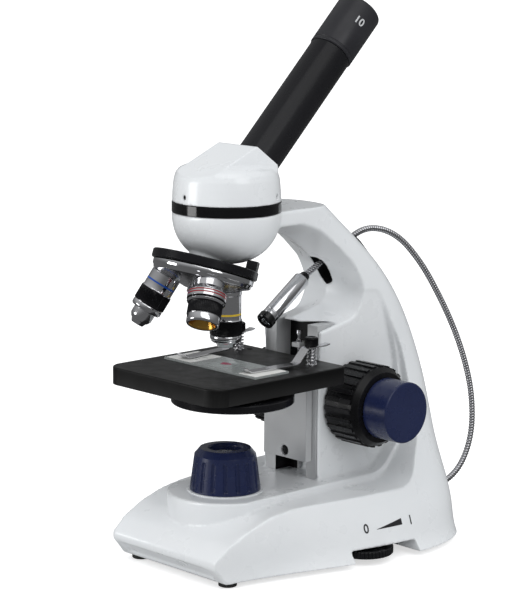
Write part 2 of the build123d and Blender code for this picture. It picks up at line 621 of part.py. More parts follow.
def illuminator():
    """Rim, collar, lens and light source of the illuminator."""
    spigot_bottom = PEDESTAL_HEIGHT - 8.5
    rim = turned([(10, spigot_bottom), (SPIGOT_RADIUS - SEAT_GAP, spigot_bottom),
                  (SPIGOT_RADIUS - SEAT_GAP, PEDESTAL_HEIGHT), (RIM_RADIUS, PEDESTAL_HEIGHT),
                  (RIM_RADIUS, collar_base), (10, collar_base)])
    shoulder = collar_base + COLLAR_HEIGHT
    crown = shoulder + COLLAR_CROWN
    lens_seat, lens_top = shoulder - 4.5, shoulder - 0.2
    collar = turned([
        (COLLAR_BORE, collar_base), (COLLAR_FOOT_RADIUS, collar_base), (COLLAR_TOP_RADIUS, shoulder),
        (COLLAR_TOP_RADIUS - 3.0, crown), (LAMP_WINDOW_RADIUS + 0.8, crown), (LAMP_WINDOW_RADIUS, crown - 1),
        (LAMP_WINDOW_RADIUS, lens_top), (LAMP_WINDOW_RADIUS + 1.9, lens_top),
        (LAMP_WINDOW_RADIUS + 1.9, lens_seat),
        (COLLAR_BORE, lens_seat)])
    slope = (COLLAR_FOOT_RADIUS - COLLAR_TOP_RADIUS) / COLLAR_HEIGHT
    for turn in range(COLLAR_RIBS):
        low = COLLAR_FOOT_RADIUS - slope * 2.4 + 0.55
        high = COLLAR_FOOT_RADIUS - slope * 17.0 + 0.75
        groove = rod(1.5, (low, 0, collar_base + 2.4), (high, 0, collar_base + 17.0))
        groove += Pos(low, 0, collar_base + 2.4) * Sphere(1.5)
        groove += Pos(high, 0, collar_base + 17.0) * Sphere(1.5)
        collar -= Rot(0, 0, turn * 360 / COLLAR_RIBS) * groove
    lens_radius = LAMP_WINDOW_RADIUS + 1.9 - SEAT_GAP
    lens = rod(lens_radius, (0, 0, lens_seat + 0.6), (0, 0, lens_top - SEAT_GAP))
    dome_radius = 24.0
    dome = Pos(0, 0, lens_top - dome_radius + 1.4) * Sphere(dome_radius)
    lens += dome & rod(LAMP_WINDOW_RADIUS - LOOSE, (0, 0, lens_top - 1), (0, 0, crown))
    led = rod(SPIGOT_RADIUS - 0.1, (0, 0, spigot_bottom - 1.6), (0, 0, spigot_bottom))
    led += rod(2.6, (0, 0, spigot_bottom), (0, 0, spigot_bottom + 2.0))
    led += Pos(0, 0, spigot_bottom + 2.0) * Sphere(2.6)
    return {"illuminator_rim": rim, "illuminator_collar": collar, "illuminator_lens": lens,
            "illuminator_led": led}


# ---------------------------------------------------------------- gooseneck lamp
def corner_radii(points):
    """Largest even arcs: 0.45 of the shorter run at each corner, over the tangent of half the turn."""
    radii = []
    for before, here, after in zip(points, points[1:], points[2:]):
        run_in, run_out = Vector(*here) - Vector(*before), Vector(*after) - Vector(*here)
        half_turn = radians(run_in.get_angle(run_out)) / 2
        radii.append(0.45 * min(run_in.length, run_out.length) / tan(half_turn))
    return radii


def flexible_tube(points, radius):
    """Tube along straight runs joined by tangent arcs."""
    path = FilletPolyline(*points, radius=corner_radii(points))
    return sweep(Plane(path.position_at(0), z_dir=path.tangent_at(0)) * Circle(radius), path), path


def gooseneck():
    route = [(0, y, z) for y, z in GOOSENECK_ROUTE]
    rear, rear_path = flexible_tube(route, NECK_RADIUS)
    bend = lamp_pivot + lamp_along * NECK_START
    neck, neck_path = flexible_tube([tuple(lamp_pivot), tuple(bend), tuple(neck_pivot)], NECK_RADIUS)
    neck += Pos(*lamp_pivot) * Sphere(NECK_RADIUS) + Pos(*neck_pivot) * Sphere(NECK_RADIUS)
    print("gooseneck length", round(rear_path.length, 1), "radii", [round(r) for r in corner_radii(route)],
          "volume ratio", round(rear.volume / (pi * NECK_RADIUS ** 2 * rear_path.length), 4))
    gland = rod(GLAND_RADIUS, (0, GLAND_FACE - 9, BACK_EXIT_HEIGHT), (0, GLAND_FACE + 3, BACK_EXIT_HEIGHT))
    gland += rod(GLAND_FLANGE, (0, GLAND_FACE, BACK_EXIT_HEIGHT), (0, GLAND_FACE + 3, BACK_EXIT_HEIGHT))
    nose = Plane(origin=(0, GLAND_FACE + 3, BACK_EXIT_HEIGHT), z_dir=(0, 1, 0))
    gland += nose * Cone(4.6, 3.0, GLAND_TIP - GLAND_FACE - 3, align=(Align.CENTER, Align.CENTER, Align.MIN))
    inside = (0, GOOSENECK_ROUTE[0][0], BACK_EXIT_HEIGHT)
    gland -= rod(NECK_RADIUS + RUN_FIT, inside, (0, 170, BACK_EXIT_HEIGHT))
    return {"gooseneck_gland": gland, "gooseneck_rear": rear, "gooseneck_neck": neck}


def lamp():
    bezel_back = lamp_tip + lamp_along * BEZEL_LENGTH
    sleeve = rod(SLEEVE_RADIUS, bezel_back, lamp_top)
    sleeve = fillet(sleeve.edges().filter_by(GeomType.CIRCLE).sort_by(Axis.Z)[-1], 1.0)
    sleeve -= rod(SLEEVE_RADIUS - 0.9, bezel_back, bezel_back + lamp_along * (SLEEVE_LENGTH - 6))
    bezel = rod(BEZEL_RADIUS, lamp_tip, bezel_back)
    bezel = chamfer(bezel.edges().filter_by(GeomType.CIRCLE), 0.6)
    bezel -= rod(4.0, lamp_tip, bezel_back)
    bezel += rod(SLEEVE_RADIUS - 0.95, bezel_back, bezel_back + lamp_along * 4.0, 3.2)
    lens = rod(3.98, lamp_tip + lamp_along * 1.2, bezel_back - lamp_along * 0.05)
    return {"lamp_housing": sleeve, "lamp_bezel": bezel, "lamp_lens": lens}


def arm_slot_liner():
    outline = SlotOverall(LINER_LENGTH - 2 * SEAT_GAP, LINER_WIDTH - 2 * SEAT_GAP)
    plate = extrude(outline, LINER_DEPTH + LINER_PROUD)
    plate = Pos(0, 0, SEAT_GAP - LINER_DEPTH) * plate
    return liner_plane * plate - gooseneck_passage()


# ---------------------------------------------------------------- focus
def guide_channel():
    back = CHANNEL_FRONT + CHANNEL_DEPTH
    half = CHANNEL_HALF_WIDTH
    channel = block((-half, half), (CHANNEL_FRONT, back), (CHANNEL_BOTTOM, CHANNEL_TOP))
    slot = half - CHANNEL_CHEEK
    channel -= block((-slot, slot), (0, back - CHANNEL_BACK), (0, 300))
    channel -= block((-RACK_WIDTH / 2 - 1, RACK_WIDTH / 2 + 1), (0, back + 1), (0, 112))
    # small bracket that carries the stop screw above the stage
    channel += block((-3, 3), (CHANNEL_FRONT + 3, back - 1), (117.0, 119.5))
    return channel - rod(1.0 + SEAT_GAP, (0, CHANNEL_FRONT + 6, 100), (0, CHANNEL_FRONT + 6, 130))


def travel_stop_screw():
    y = CHANNEL_FRONT + 6
    return rod(1.0, (0, y, 113.0), (0, y, 126.5)) + rod(1.7, (0, y, 124.5), (0, y, 126.8)) + \
        rod(1.7, (0, y, 119.5), (0, y, 121.5))


def stage_carriage():
    half = CARRIAGE_HALF_WIDTH
    carriage = block((-half, half), (CARRIAGE_FRONT, carriage_back), (CARRIAGE_BOTTOM, stage_bottom))
    carriage += block((-half, half), (CARRIAGE_FRONT - FLANGE_LENGTH, carriage_back),
                      (stage_bottom - FLANGE_THICKNESS, stage_bottom))
    tongue = CHANNEL_HALF_WIDTH - CHANNEL_CHEEK - LOOSE
    carriage += block((-tongue, tongue), (carriage_back, tongue_back),
                      (CARRIAGE_BOTTOM + 2, stage_bottom + 2.5))
    screw_height = CARRIAGE_BOTTOM + 4.2
    carriage -= rod(3.1, (0, 30, screw_height), (0, CARRIAGE_FRONT + 3, screw_height))
    carriage -= rod(SCREW_RADIUS + SEAT_GAP, (0, 30, screw_height), (0, CARRIAGE_FRONT + 12, screw_height))
    for x, y in stage_screw_places():
        carriage -= rod(SCREW_RADIUS + RUN_FIT, (x, y, 80), (x, y, 120))
    return carriage


def stage_screw_places():
    return [(-11, CARRIAGE_FRONT - 12), (11, CARRIAGE_FRONT - 12)]


def tooth(root_half, tip_half, root, tip):
    """Half of a straight-sided tooth's outline, root first, as (across, out) points."""
    return [(-root_half, root), (-tip_half, tip), (tip_half, tip), (root_half, root)]


def focus_rack():
    root, tip = rack_pitch_y - 1.25 * GEAR_MODULE - 0.15, rack_pitch_y + GEAR_MODULE
    low, high = SHAFT_Z - 4.5 * tooth_pitch, SHAFT_Z + 7 * tooth_pitch
    half = RACK_WIDTH / 2 - LOOSE
    rack = block((-half, half), (tongue_back, root), (low, high))
    thick = tooth_pitch / 4 - BACKLASH / 2
    slope = tan(radians(20))
    shape = tooth(thick + 1.4 * GEAR_MODULE * slope, thick - GEAR_MODULE * slope, root - 0.3, tip)
    for step in range(-4, 7):
        centre = SHAFT_Z + (step + 0.5) * tooth_pitch
        points = [(out, centre + across) for across, out in shape]
        rack += extrude(Plane.YZ * make_face(Polyline(*points, close=True)), half, both=True)
    return rack


def pinion_shaft():
    root, tip = pinion_radius - 1.25 * GEAR_MODULE, pinion_radius + 0.9 * GEAR_MODULE
    thick = tooth_pitch / 4 - BACKLASH / 2
    width = RACK_WIDTH / 2 + 1
    gear = rod(root, (-width, 0, 0), (width, 0, 0))
    shape = tooth(thick + 0.42, thick - 0.42, root - 0.4, tip)
    for turn in range(PINION_TEETH):
        angle = pi + turn * 2 * pi / PINION_TEETH
        points = [(out * cos(angle) - across * sin(angle), out * sin(angle) + across * cos(angle))
                  for across, out in shape]
        gear += extrude(Plane.YZ * make_face(Polyline(*points, close=True)), width, both=True)
    reach = COARSE_KNOB_OUTER - 3.6
    gear += rod(COARSE_SHAFT_RADIUS, (-reach, 0, 0), (reach, 0, 0))
    gear -= rod(FINE_SHAFT_RADIUS + RUN_FIT, (-100, 0, 0), (100, 0, 0))
    return Pos(0, SHAFT_Y, SHAFT_Z) * gear


def shaft_bushes():
    bushes = []
    for side in (-1, 1):
        bush = rod(BUSH_RADIUS, (side * 11, SHAFT_Y, SHAFT_Z), (side * CORE_HALF_WIDTH, SHAFT_Y, SHAFT_Z),
                   COARSE_SHAFT_RADIUS + RUN_FIT)
        bushes.append(bush)
    return Compound(bushes)


def coarse_knob():
    inner, outer = COARSE_KNOB_INNER, COARSE_KNOB_OUTER
    radius = COARSE_KNOB_RADIUS
    knob = turned([
        (0, inner), (radius - 1.6, inner), (radius - 0.6, inner + 1), (radius - 1.0, outer - 3.4),
        (radius - 3.6, outer), (0, outer)])
    ribs = []
    for turn in range(COARSE_KNOB_RIBS):
        rib = block((radius - 2.0, radius), (-1.25, 1.25), (inner + 0.8, outer - 4.0))
        ribs.append(Rot(0, 0, (turn + 0.5) * 360 / COARSE_KNOB_RIBS) * rib)
    knob += ribs
    knob -= rod(COARSE_SHAFT_RADIUS + SEAT_GAP, (0, 0, 0), (0, 0, outer - 3.6 + SEAT_GAP))
    knob -= rod(FINE_SHAFT_RADIUS + LOOSE, (0, 0, 0), (0, 0, 100))
    return Pos(0, SHAFT_Y, SHAFT_Z) * (Rot(0, 90, 0) * knob)


def fine_knob():
    start = COARSE_KNOB_OUTER + 0.5
    knob = rod(FINE_KNOB_RADIUS, (start, 0, 0), (FINE_KNOB_OUTER, 0, 0))
    knob = fillet(knob.edges().filter_by(GeomType.CIRCLE), 0.9)
    knob -= rod(FINE_SHAFT_RADIUS + SEAT_GAP, (0, 0, 0), (FINE_KNOB_OUTER - 5, 0, 0))
    return Pos(0, SHAFT_Y, SHAFT_Z) * knob


def fine_shaft():
    reach = FINE_KNOB_OUTER - 5 - SEAT_GAP
    return rod(FINE_SHAFT_RADIUS, (-reach, SHAFT_Y, SHAFT_Z), (reach, SHAFT_Y, SHAFT_Z))


# ---------------------------------------------------------------- stage
def stage_plate():
    half = STAGE_HALF_WIDTH
    plate = block((-half, half), (STAGE_FRONT, STAGE_BACK), (stage_bottom, STAGE_TOP))
    upright = plate.edges().filter_by(Axis.Z)
    plate = fillet(upright.group_by(Axis.Y)[0], STAGE_CORNER)
    plate = fillet(plate.edges().filter_by(Axis.Z).group_by(Axis.Y)[-1], STAGE_BACK_CORNER)
    plate = fillet(plate.faces().sort_by(Axis.Z)[-1].edges(), 0.8)
    plate -= rod(STAGE_APERTURE, (0, 0, 90), (0, 0, 120))
    plate -= rod(CONDENSER_RADIUS + SEAT_GAP, (0, 0, 90), (0, 0, STAGE_TOP - CONDENSER_ROOF))
    for side in (-1, 1):
        x = side * ACCESSORY_SPACING / 2
        plate -= rod(ACCESSORY_HOLE, (x, ACCESSORY_Y, 90), (x, ACCESSORY_Y, 120))
        plate -= rod(CLIP_POST_RADIUS + SEAT_GAP, (side * CLIP_X, CLIP_Y, 106), (side * CLIP_X, CLIP_Y, 120))
    for x, y in stage_screw_places():
        plate -= rod(SCREW_RADIUS + SEAT_GAP, (x, y, 90), (x, y, stage_bottom + 6))
    x, y = DISC_PIVOT
    return plate - rod(1.8 + SEAT_GAP, (x, y, 90), (x, y, stage_bottom + 5))


def condenser():
    bottom, top = stage_bottom, STAGE_TOP - CONDENSER_ROOF - SEAT_GAP
    bore, lip = 9.5, 8.5
    mount = turned([
        (lip, bottom), (CONDENSER_RADIUS, bottom), (CONDENSER_RADIUS, top), (bore, top), (bore, bottom + 1),
        (lip, bottom + 1)])
    lens = rod(bore - SEAT_GAP, (0, 0, bottom + 1), (0, 0, bottom + 3.5))
    dome = Pos(0, 0, bottom + 3.5 - 9) * Sphere(LENS_FACE_RADIUS)
    lens += dome & rod(bore - SEAT_GAP, (0, 0, bottom + 3), (0, 0, top))
    return {"condenser_mount": mount, "condenser_lens": lens}


def diaphragm():
    x, y = DISC_PIVOT
    bottom = DISC_TOP - DISC_THICKNESS
    disc = rod(DISC_RADIUS, (x, y, bottom), (x, y, DISC_TOP))
    disc = chamfer(disc.edges().filter_by(GeomType.CIRCLE), 0.5)
    hollow = rod(DISC_RADIUS - 3, (x, y, bottom), (x, y, bottom + DISC_RECESS))
    disc -= hollow - rod(7.5, (x, y, 0), (x, y, 120))
    disc -= rod(DISC_BORE + RUN_FIT, (x, y, 0), (x, y, 120))
    offset = Vector(-x, -y)
    for turn, radius in enumerate(DISC_HOLES):
        place = offset.rotate(Axis.Z, (turn - 3) * 72)
        disc -= rod(radius, (x + place.X, y + place.Y, 0), (x + place.X, y + place.Y, 120))
    pivot = rod(DISC_BORE, (x, y, bottom - 0.2), (x, y, stage_bottom))
    pivot += rod(5.2, (x, y, bottom - 1.9), (x, y, bottom - 0.2))
    pivot += rod(1.8, (x, y, stage_bottom), (x, y, stage_bottom + 4.9))
    pivot -= Pos(x, y, bottom - 1.9) * Box(12, 1.0, 1.6)
    return {"diaphragm_disc": disc, "diaphragm_pivot": pivot}


def carriage_screws():
    """The two screws up into the stage and the one at the foot of the carriage."""
    seat = stage_bottom - FLANGE_THICKNESS
    screws = [screw(SCREW_RADIUS, 2.8, 1.8, FLANGE_THICKNESS + 5.5, (x, y, seat), (0, 0, 1))
              for x, y in stage_screw_places()]
    foot_seat = (0, CARRIAGE_FRONT + 3, CARRIAGE_BOTTOM + 4.2)
    return Compound([*screws, screw(SCREW_RADIUS, 2.8, 1.8, 8.5, foot_seat, (0, 1, 0))])


def clip_post():
    post = rod(CLIP_POST_RADIUS, (0, 0, STAGE_TOP - 7.3), (0, 0, knob_bottom + 1))
    post += rod(CLIP_WASHER_RADIUS, (0, 0, STAGE_TOP), (0, 0, STAGE_TOP + CLIP_WASHER))
    knob_top = knob_bottom + CLIP_KNOB_HEIGHT
    knob = rod(CLIP_KNOB_RADIUS, (0, 0, knob_bottom), (0, 0, knob_top))
    knob = fillet(knob.edges().filter_by(GeomType.CIRCLE), 0.5)
    for turn in range(CLIP_KNOB_RIBS):
        angle = turn * 2 * pi / CLIP_KNOB_RIBS
        x, y = (CLIP_KNOB_RADIUS + 0.05) * cos(angle), (CLIP_KNOB_RADIUS + 0.05) * sin(angle)
        knob -= rod(0.28, (x, y, knob_bottom - 1), (x, y, knob_top + 1))
    return post + knob


def strip(points, thickness, width):
    """Bent strip: a centre line in (along, height), thickened and widened."""
    upper, lower = [], []
    for index, (along, height) in enumerate(points):
        before = points[max(index - 1, 0)]
        after = points[min(index + 1, len(points) - 1)]
        direction = Vector(after[0] - before[0], after[1] - before[1]).normalized()
        out = Vector(-direction.Y, direction.X) * (thickness / 2)
        upper.append((along + out.X, height + out.Y))
        lower.append((along - out.X, height - out.Y))
    outline = Polyline(*upper, *reversed(lower), close=True)
    return extrude(Plane.XZ * make_face(outline), width / 2, both=True)


def clip_leaf():
    """Leaf with its post at the origin and its tip along +X."""
    half = CLIP_LEAF_THICKNESS / 2
    high = leaf_bottom + half
    low = STAGE_TOP + SLIDE_THICKNESS + CLIP_CLEARANCE + half
    length = Vector(CLIP_X - CLIP_TIP_X, CLIP_Y - CLIP_TIP_Y).length
    leaf = strip([
        (-12, high + 0.6), (-9, high), (3.6, high), (4.6, high - 0.4), (11.2, low + 0.9), (13.0, low + 0.25),
        (length - 5.2, low), (length - 3.4, low + 0.25), (length - 1.8, low + 1.2),
        (length - 1.2, low + 2.4)],
        CLIP_LEAF_THICKNESS, CLIP_LEAF_WIDTH)
    tail = block((-14, -3), (-2.2, 2.2), (100, 160))
    leaf &= extrude(Pos(0, 0, 100) * Circle(4.2), 60) + block((0, 90), (-3.3, 3.3), (100, 160)) + tail
    return leaf - rod(CLIP_POST_RADIUS + LOOSE, (0, 0, 100), (0, 0, 160))


def clip_spring():
    turns = 4.5
    bottom, top = STAGE_TOP + CLIP_WASHER + SPRING_WIRE + 0.05, leaf_bottom - SPRING_WIRE - 0.05
    pitch = (top - bottom) / turns
    path = Helix(pitch, top - bottom, SPRING_RADIUS)
    start = Plane(path.position_at(0), z_dir=path.tangent_at(0))
    return Pos(0, 0, bottom) * sweep(start * Circle(SPRING_WIRE), path, is_frenet=True)


def specimen_slide():
    slide = block((-SLIDE_LENGTH / 2, SLIDE_LENGTH / 2), (-SLIDE_WIDTH / 2, SLIDE_WIDTH / 2),
                  (STAGE_TOP, STAGE_TOP + SLIDE_THICKNESS))
    slide = chamfer(slide.edges().filter_by(Axis.Z), 0.4)
    half = COVER_GLASS / 2
    top = STAGE_TOP + SLIDE_THICKNESS
    return slide + block((-half, half), (-half, half), (top, top + COVER_GLASS_THICKNESS))


# ---------------------------------------------------------------- head
def head_ring():
    return turned([
        (LIGHT_BORE, ARM_TOP - SPIGOT_DEPTH), (RING_SPIGOT_RADIUS, ARM_TOP - SPIGOT_DEPTH),
        (RING_SPIGOT_RADIUS, ARM_TOP), (HEAD_RADIUS, ARM_TOP), (HEAD_RADIUS, ring_top),
        (DOVETAIL_RADIUS, ring_top),
        (DOVETAIL_RADIUS, ring_top + DOVETAIL_HEIGHT), (LIGHT_BORE, ring_top + DOVETAIL_HEIGHT)])


def prism_housing():
    """Round below, with a roof of four facets: front and back slopes and two steep cheeks."""
    foot = ring_top + LOOSE
    profile = [(0, foot), (HEAD_RADIUS - 0.2, foot)] + HOUSING_ROUND + [(0, HOUSING_ROUND[-1][1] + 0.5)]
    round_part = turned(profile)
    cheeked = rod(HOUSING_ROUND[3][0], (0, 0, HOUSING_ROUND[2][1]), (0, 0, HOUSING_RIDGE))
    cheek = Plane(origin=(HOUSING_RIDGE_HALF, ridge_y, HOUSING_RIDGE), z_dir=HOUSING_CHEEK)
    beyond = cheek * Box(120, 120, 40, align=(Align.CENTER, Align.CENTER, Align.MIN))
    body = round_part + (cheeked - beyond - mirrored(beyond))
    front = -40
    front_height = HOUSING_RIDGE - (ridge_y - front) * tan(radians(HOUSING_FRONT_SLOPE))
    body &= side_slab([
        (front, ring_top, 1), (front, front_height, 1), (ridge_y, HOUSING_RIDGE, 1.5),
        (ridge_y + HOUSING_RIDGE - ring_top + 2, ring_top - 2, 1)], 60)
    body -= rod(DOVETAIL_RADIUS + RUN_FIT, (0, 0, 190), (0, 0, ring_top + DOVETAIL_HEIGHT + 0.5))
    outline = offset(prism_face(), LOOSE * 4, kind=Kind.INTERSECTION)
    body -= extrude(outline, PRISM_SIZE / 2 + SEAT_GAP, both=True)
    body -= rod(TUBE_RADIUS + SEAT_GAP, tube_start, tube_seat + tube_along * 40)
    body -= rod(EYEPIECE_BORE, tube_seat - tube_along * 20, tube_seat)
    for place in set_screw_places():
        body -= rod(SET_SCREW_RADIUS + SEAT_GAP, *place)
    return body


def set_screw_places():
    places = []
    for turn in SET_SCREW_TURNS:
        angle = radians(turn)
        reach = (DOVETAIL_RADIUS + 0.1, 40)
        places.append([(r * cos(angle), r * sin(angle), SET_SCREW_HEIGHT) for r in reach])
    return places


def head_set_screws():
    screws = []
    for start, end in set_screw_places():
        along = (Vector(*end) - Vector(*start)).normalized()
        head = Vector(*start) + along * (HEAD_RADIUS - DOVETAIL_RADIUS - 1.6)
        pin = rod(SET_SCREW_RADIUS, start, head)
        socket = Plane(origin=head, z_dir=along) * extrude(RegularPolygon(0.75, 6), 1.4, both=True)
        screws.append(pin - socket)
    return Compound(screws)


def prism_face():
    """Side view of the prism that turns the light into the tube, one wall inside the roof."""
    low = ring_top + DOVETAIL_HEIGHT + 2 * SEAT_GAP + LOOSE * 4
    slope = tan(radians(HOUSING_FRONT_SLOPE))
    roof = HOUSING_RIDGE - HOUSING_WALL / cos(radians(HOUSING_FRONT_SLOPE)) - LOOSE * 4
    top_y = ridge_y - 5.0
    corners = [(-11.5, low), (11.5, low), (11.5, roof - (ridge_y - top_y) * slope - (11.5 - top_y)),
               (top_y, roof - (ridge_y - top_y) * slope), (-11.5, roof - (ridge_y + 11.5) * slope)]
    return Plane.YZ * make_face(Polyline(*corners, close=True))


def prism():
    glass = extrude(prism_face(), PRISM_SIZE / 2, both=True)
    return glass - rod(EYEPIECE_BORE + SEAT_GAP, tube_seat - tube_along * 20.2, tube_seat)


def body_tube():
    tube = rod(TUBE_RADIUS, tube_start, tube_top)
    tube = chamfer(tube.edges().filter_by(GeomType.CIRCLE).sort_by(Axis.Z)[-1], 0.4)
    return tube - rod(TUBE_BORE, tube_start, tube_top)


def eyepiece():
    body = rod(EYEPIECE_RADIUS, tube_top, eyepiece_top)
    top_edge = body.edges().filter_by(GeomType.CIRCLE).sort_by(Axis.Z)[-1]
    body = fillet(top_edge, 1.2)
    body += rod(EYEPIECE_BARREL, tube_top - tube_along * EYEPIECE_BARREL_LENGTH, tube_top + tube_along)
    body -= rod(EYEPIECE_BORE, tube_top - tube_along * 40, eyepiece_top - tube_along * 6)
    body -= rod(EYE_LENS_RADIUS + SEAT_GAP, eyepiece_top - tube_along * 7, eyepiece_top - tube_along * 1.6)
    cup = Plane(origin=eyepiece_top - tube_along * 2.2, z_dir=tube_along)
    body -= cup * Cone(EYE_LENS_RADIUS - 0.6, EYEPIECE_RADIUS - 2.0, 2.3,
                       align=(Align.CENTER, Align.CENTER, Align.MIN))
    eye_lens = rod(EYE_LENS_RADIUS, eyepiece_top - tube_along * 5.6, eyepiece_top - tube_along * 2.6)
    low = tube_top - tube_along * (EYEPIECE_BARREL_LENGTH - 1)
    field_lens = rod(EYEPIECE_BORE - SEAT_GAP, low, low + tube_along * 3)
    return {"eyepiece_body": body, "eyepiece_lenses": Compound([eye_lens, field_lens])}


# ---------------------------------------------------------------- nosepiece


def click_bracket(grow=0.0):
    """Upright housing of the click spring, at the edge of the fixed plate."""
    at = down_turret(plate_top - 2.4, PLATE_RADIUS - 4.0, CLICK_ANGLE)
    outward = down_turret(0, 1, CLICK_ANGLE) - turret_axis.position
    plane = Plane(origin=at, x_dir=turret_axis.direction.cross(outward), z_dir=turret_axis.direction)
    return plane * Box(9 + 2 * grow, 6 + 2 * grow, 6 + 2 * grow)


def nosepiece_plate():
    plate = along_turret(PLATE_RADIUS, plate_top, PLATE_DROP)
    plate = chamfer(plate.edges().filter_by(GeomType.CIRCLE), 0.6)
    plate += click_bracket() - along_turret(60, plate_top + 1, 200)
    plate -= along_turret(PIVOT_RADIUS + RUN_FIT, plate_top - 1, PLATE_DROP + 1)
    return plate - rod(LIGHT_PATH, (0, 0, 140), (0, 0, 195))


def cone_depth(radial):
    """How far down the turret's axis its lower cone lies at a radius."""
    return turret_top + TURRET_DEPTH + (TURRET_RADIUS - radial) * tan(radians(TURRET_TILT))


def objective_shoulder():
    """Height of the turret's seat for the objective that is in use."""
    lean = radians(TURRET_TILT)
    slant = (turret_top + TURRET_DEPTH + TURRET_RADIUS * tan(lean)) / (cos(lean) + sin(lean) * tan(lean))
    return TURRET_APEX - slant


def nosepiece_turret():
    hub = HUB_RADIUS
    outline = [(0, -turret_top), (TURRET_RADIUS, -turret_top), (TURRET_RADIUS, -turret_top - TURRET_RIM),
               (TURRET_RADIUS - 1.0, -turret_top - TURRET_DEPTH - 0.2), (hub, -cone_depth(hub)),
               (0, -cone_depth(hub))]
    body = revolve(Plane.XZ * make_face(Polyline(*outline, close=True)), Axis.Z)
    body = Plane(origin=turret_axis.position, x_dir=(1, 0, 0), z_dir=turret_axis.direction) * body
    body -= along_turret(PIVOT_RADIUS + RUN_FIT, turret_top - 1, cone_depth(hub) + 1)
    for turn in (0, 120, 240):
        hole = rod(OBJECTIVE_THREAD + SEAT_GAP, (0, 0, 140), (0, 0, 195))
        body -= hole.rotate(turret_axis, turn)
    return body


def nosepiece_pivot():
    head_start = cone_depth(HUB_RADIUS) + 0.2
    pin = along_turret(PIVOT_RADIUS, plate_top - 6.5, head_start + 0.5)
    return pin + along_turret(6.5, head_start, head_start + 2.2)


def objective(profile, tip):
    """Objective in the working place: stub thread, then the (radius, height above the tip) outline."""
    seat = objective_shoulder() - SEAT_GAP
    outline = [(0, seat + THREAD_LENGTH), (OBJECTIVE_THREAD, seat + THREAD_LENGTH), (OBJECTIVE_THREAD, seat)]
    outline += [(profile[0][0], seat)] + [(radius, tip + up) for radius, up in profile]
    outline += [(0, tip + profile[-1][1])]
    return revolve(Plane.XZ * make_face(Polyline(*outline, close=True)), Axis.Z)


def objectives():
    """Low, middle and high power objectives, the middle one in use."""
    low_tip, middle_tip, high_tip = TURRET_APEX - LOW_REACH, MIDDLE_TIP, TURRET_APEX - HIGH_REACH
    low = objective([(OBJECTIVE_BARREL, 21.2), (10.8, 18.5), (10.8, 12.8), (9.6, 11.8), (9.6, 5.0),
                     (9.1, 4.6), (9.1, 0.8), (8.5, 0)], low_tip)
    low -= turned([(0, low_tip - 1), (7.3, low_tip - 1), (7.3, low_tip + 1.5), (5.0, low_tip + 6),
                   (0, low_tip + 6)])
    middle = objective([(OBJECTIVE_BARREL, 15.6), (9.2, 15.1), (9.2, 6.6), (8.5, 6.2), (8.5, 3.6),
                        (7.2, 2.6), (5.6, 2.4), (4.8, 0)], middle_tip)
    middle -= rod(2.6, (0, 0, middle_tip - 1), (0, 0, middle_tip + 0.8))
    high = objective([(OBJECTIVE_BARREL, 21.6), (9.2, 21.1), (9.2, 12.6), (8.6, 12.2), (8.6, 9.0)], high_tip)
    high -= rod(NOSE_RADIUS + RUN_FIT, (0, 0, high_tip), (0, 0, high_tip + 19))
    nose_back = high_tip + 18.9 - NOSE_TRAVEL
    nose = turned([(0, nose_back), (NOSE_RADIUS, nose_back), (NOSE_RADIUS, high_tip + 4.4),
                   (5.0, high_tip + 2.4), (3.4, high_tip), (0, high_tip)])
    return {"objective_low": low.rotate(turret_axis, LOW_TURN), "objective_middle": middle,
            "objective_high": high.rotate(turret_axis, -LOW_TURN),
            "objective_high_nose": nose.rotate(turret_axis, -LOW_TURN)}


# ---------------------------------------------------------------- the whole microscope
def build():
    """Every sub-part by name, still about the optical axis."""
    parts = {
        "stand_casting": stand_casting(), "bottom_cover": bottom_cover(), "battery_door": battery_door(),
        "battery_holder": battery_holder(), "battery_cells": battery_cells(),
        "battery_contacts": battery_contacts(),
        "control_board": control_board(), "dimmer_potentiometer": dimmer_potentiometer(),
        "dimmer_wheel": dimmer_wheel(), "rubber_feet": rubber_feet()}
    cover_seat = [(x, y, FOOT_HEIGHT) for x, y in cover_screw_places()] + [(0, DOOR_BACK - 1, FOOT_HEIGHT)]
    lengths = [9.5] * 4 + [3.4]
    parts["bottom_cover_screws"] = Compound([
        screw(SCREW_RADIUS, 2.8, 1.6, length, at, (0, 0, 1)) for at, length in zip(cover_seat, lengths)])
    parts |= illuminator()
    parts |= gooseneck()
    parts |= lamp()
    parts |= {
        "arm_slot_liner": arm_slot_liner(), "guide_channel": guide_channel(),
        "travel_stop_screw": travel_stop_screw(), "stage_carriage": stage_carriage(),
        "carriage_screws": carriage_screws(), "focus_rack": focus_rack(), "pinion_shaft": pinion_shaft(),
        "shaft_bushes": shaft_bushes(), "coarse_knob_right": coarse_knob(),
        "coarse_knob_left": mirrored(coarse_knob()),
        "fine_shaft": fine_shaft(), "fine_knob_right": fine_knob(), "fine_knob_left": mirrored(fine_knob()),
        "stage_plate": stage_plate()}
    parts |= condenser()
    parts |= diaphragm()
    lean = degrees(pi / 2) + degrees(leaf_lean)
    leaf_right = Pos(CLIP_X, CLIP_Y, 0) * (Rot(0, 0, -lean) * clip_leaf())
    spring_right = Pos(CLIP_X, CLIP_Y, 0) * clip_spring()
    post_right = Pos(CLIP_X, CLIP_Y, 0) * clip_post()
    parts |= {
        "clip_post_right": post_right, "clip_post_left": mirrored(post_right),
        "clip_leaf_right": leaf_right, "clip_leaf_left": mirrored(leaf_right),
        "clip_spring_right": spring_right, "clip_spring_left": mirrored(spring_right),
        "specimen_slide": specimen_slide(), "head_ring": head_ring(), "prism_housing": prism_housing(),
        "head_set_screws": head_set_screws(), "prism": prism(), "body_tube": body_tube()}
    parts |= eyepiece()
    parts |= {"nosepiece_plate": nosepiece_plate(), "nosepiece_turret": nosepiece_turret(),
              "nosepiece_pivot": nosepiece_pivot()}
    parts |= objectives()
    return parts


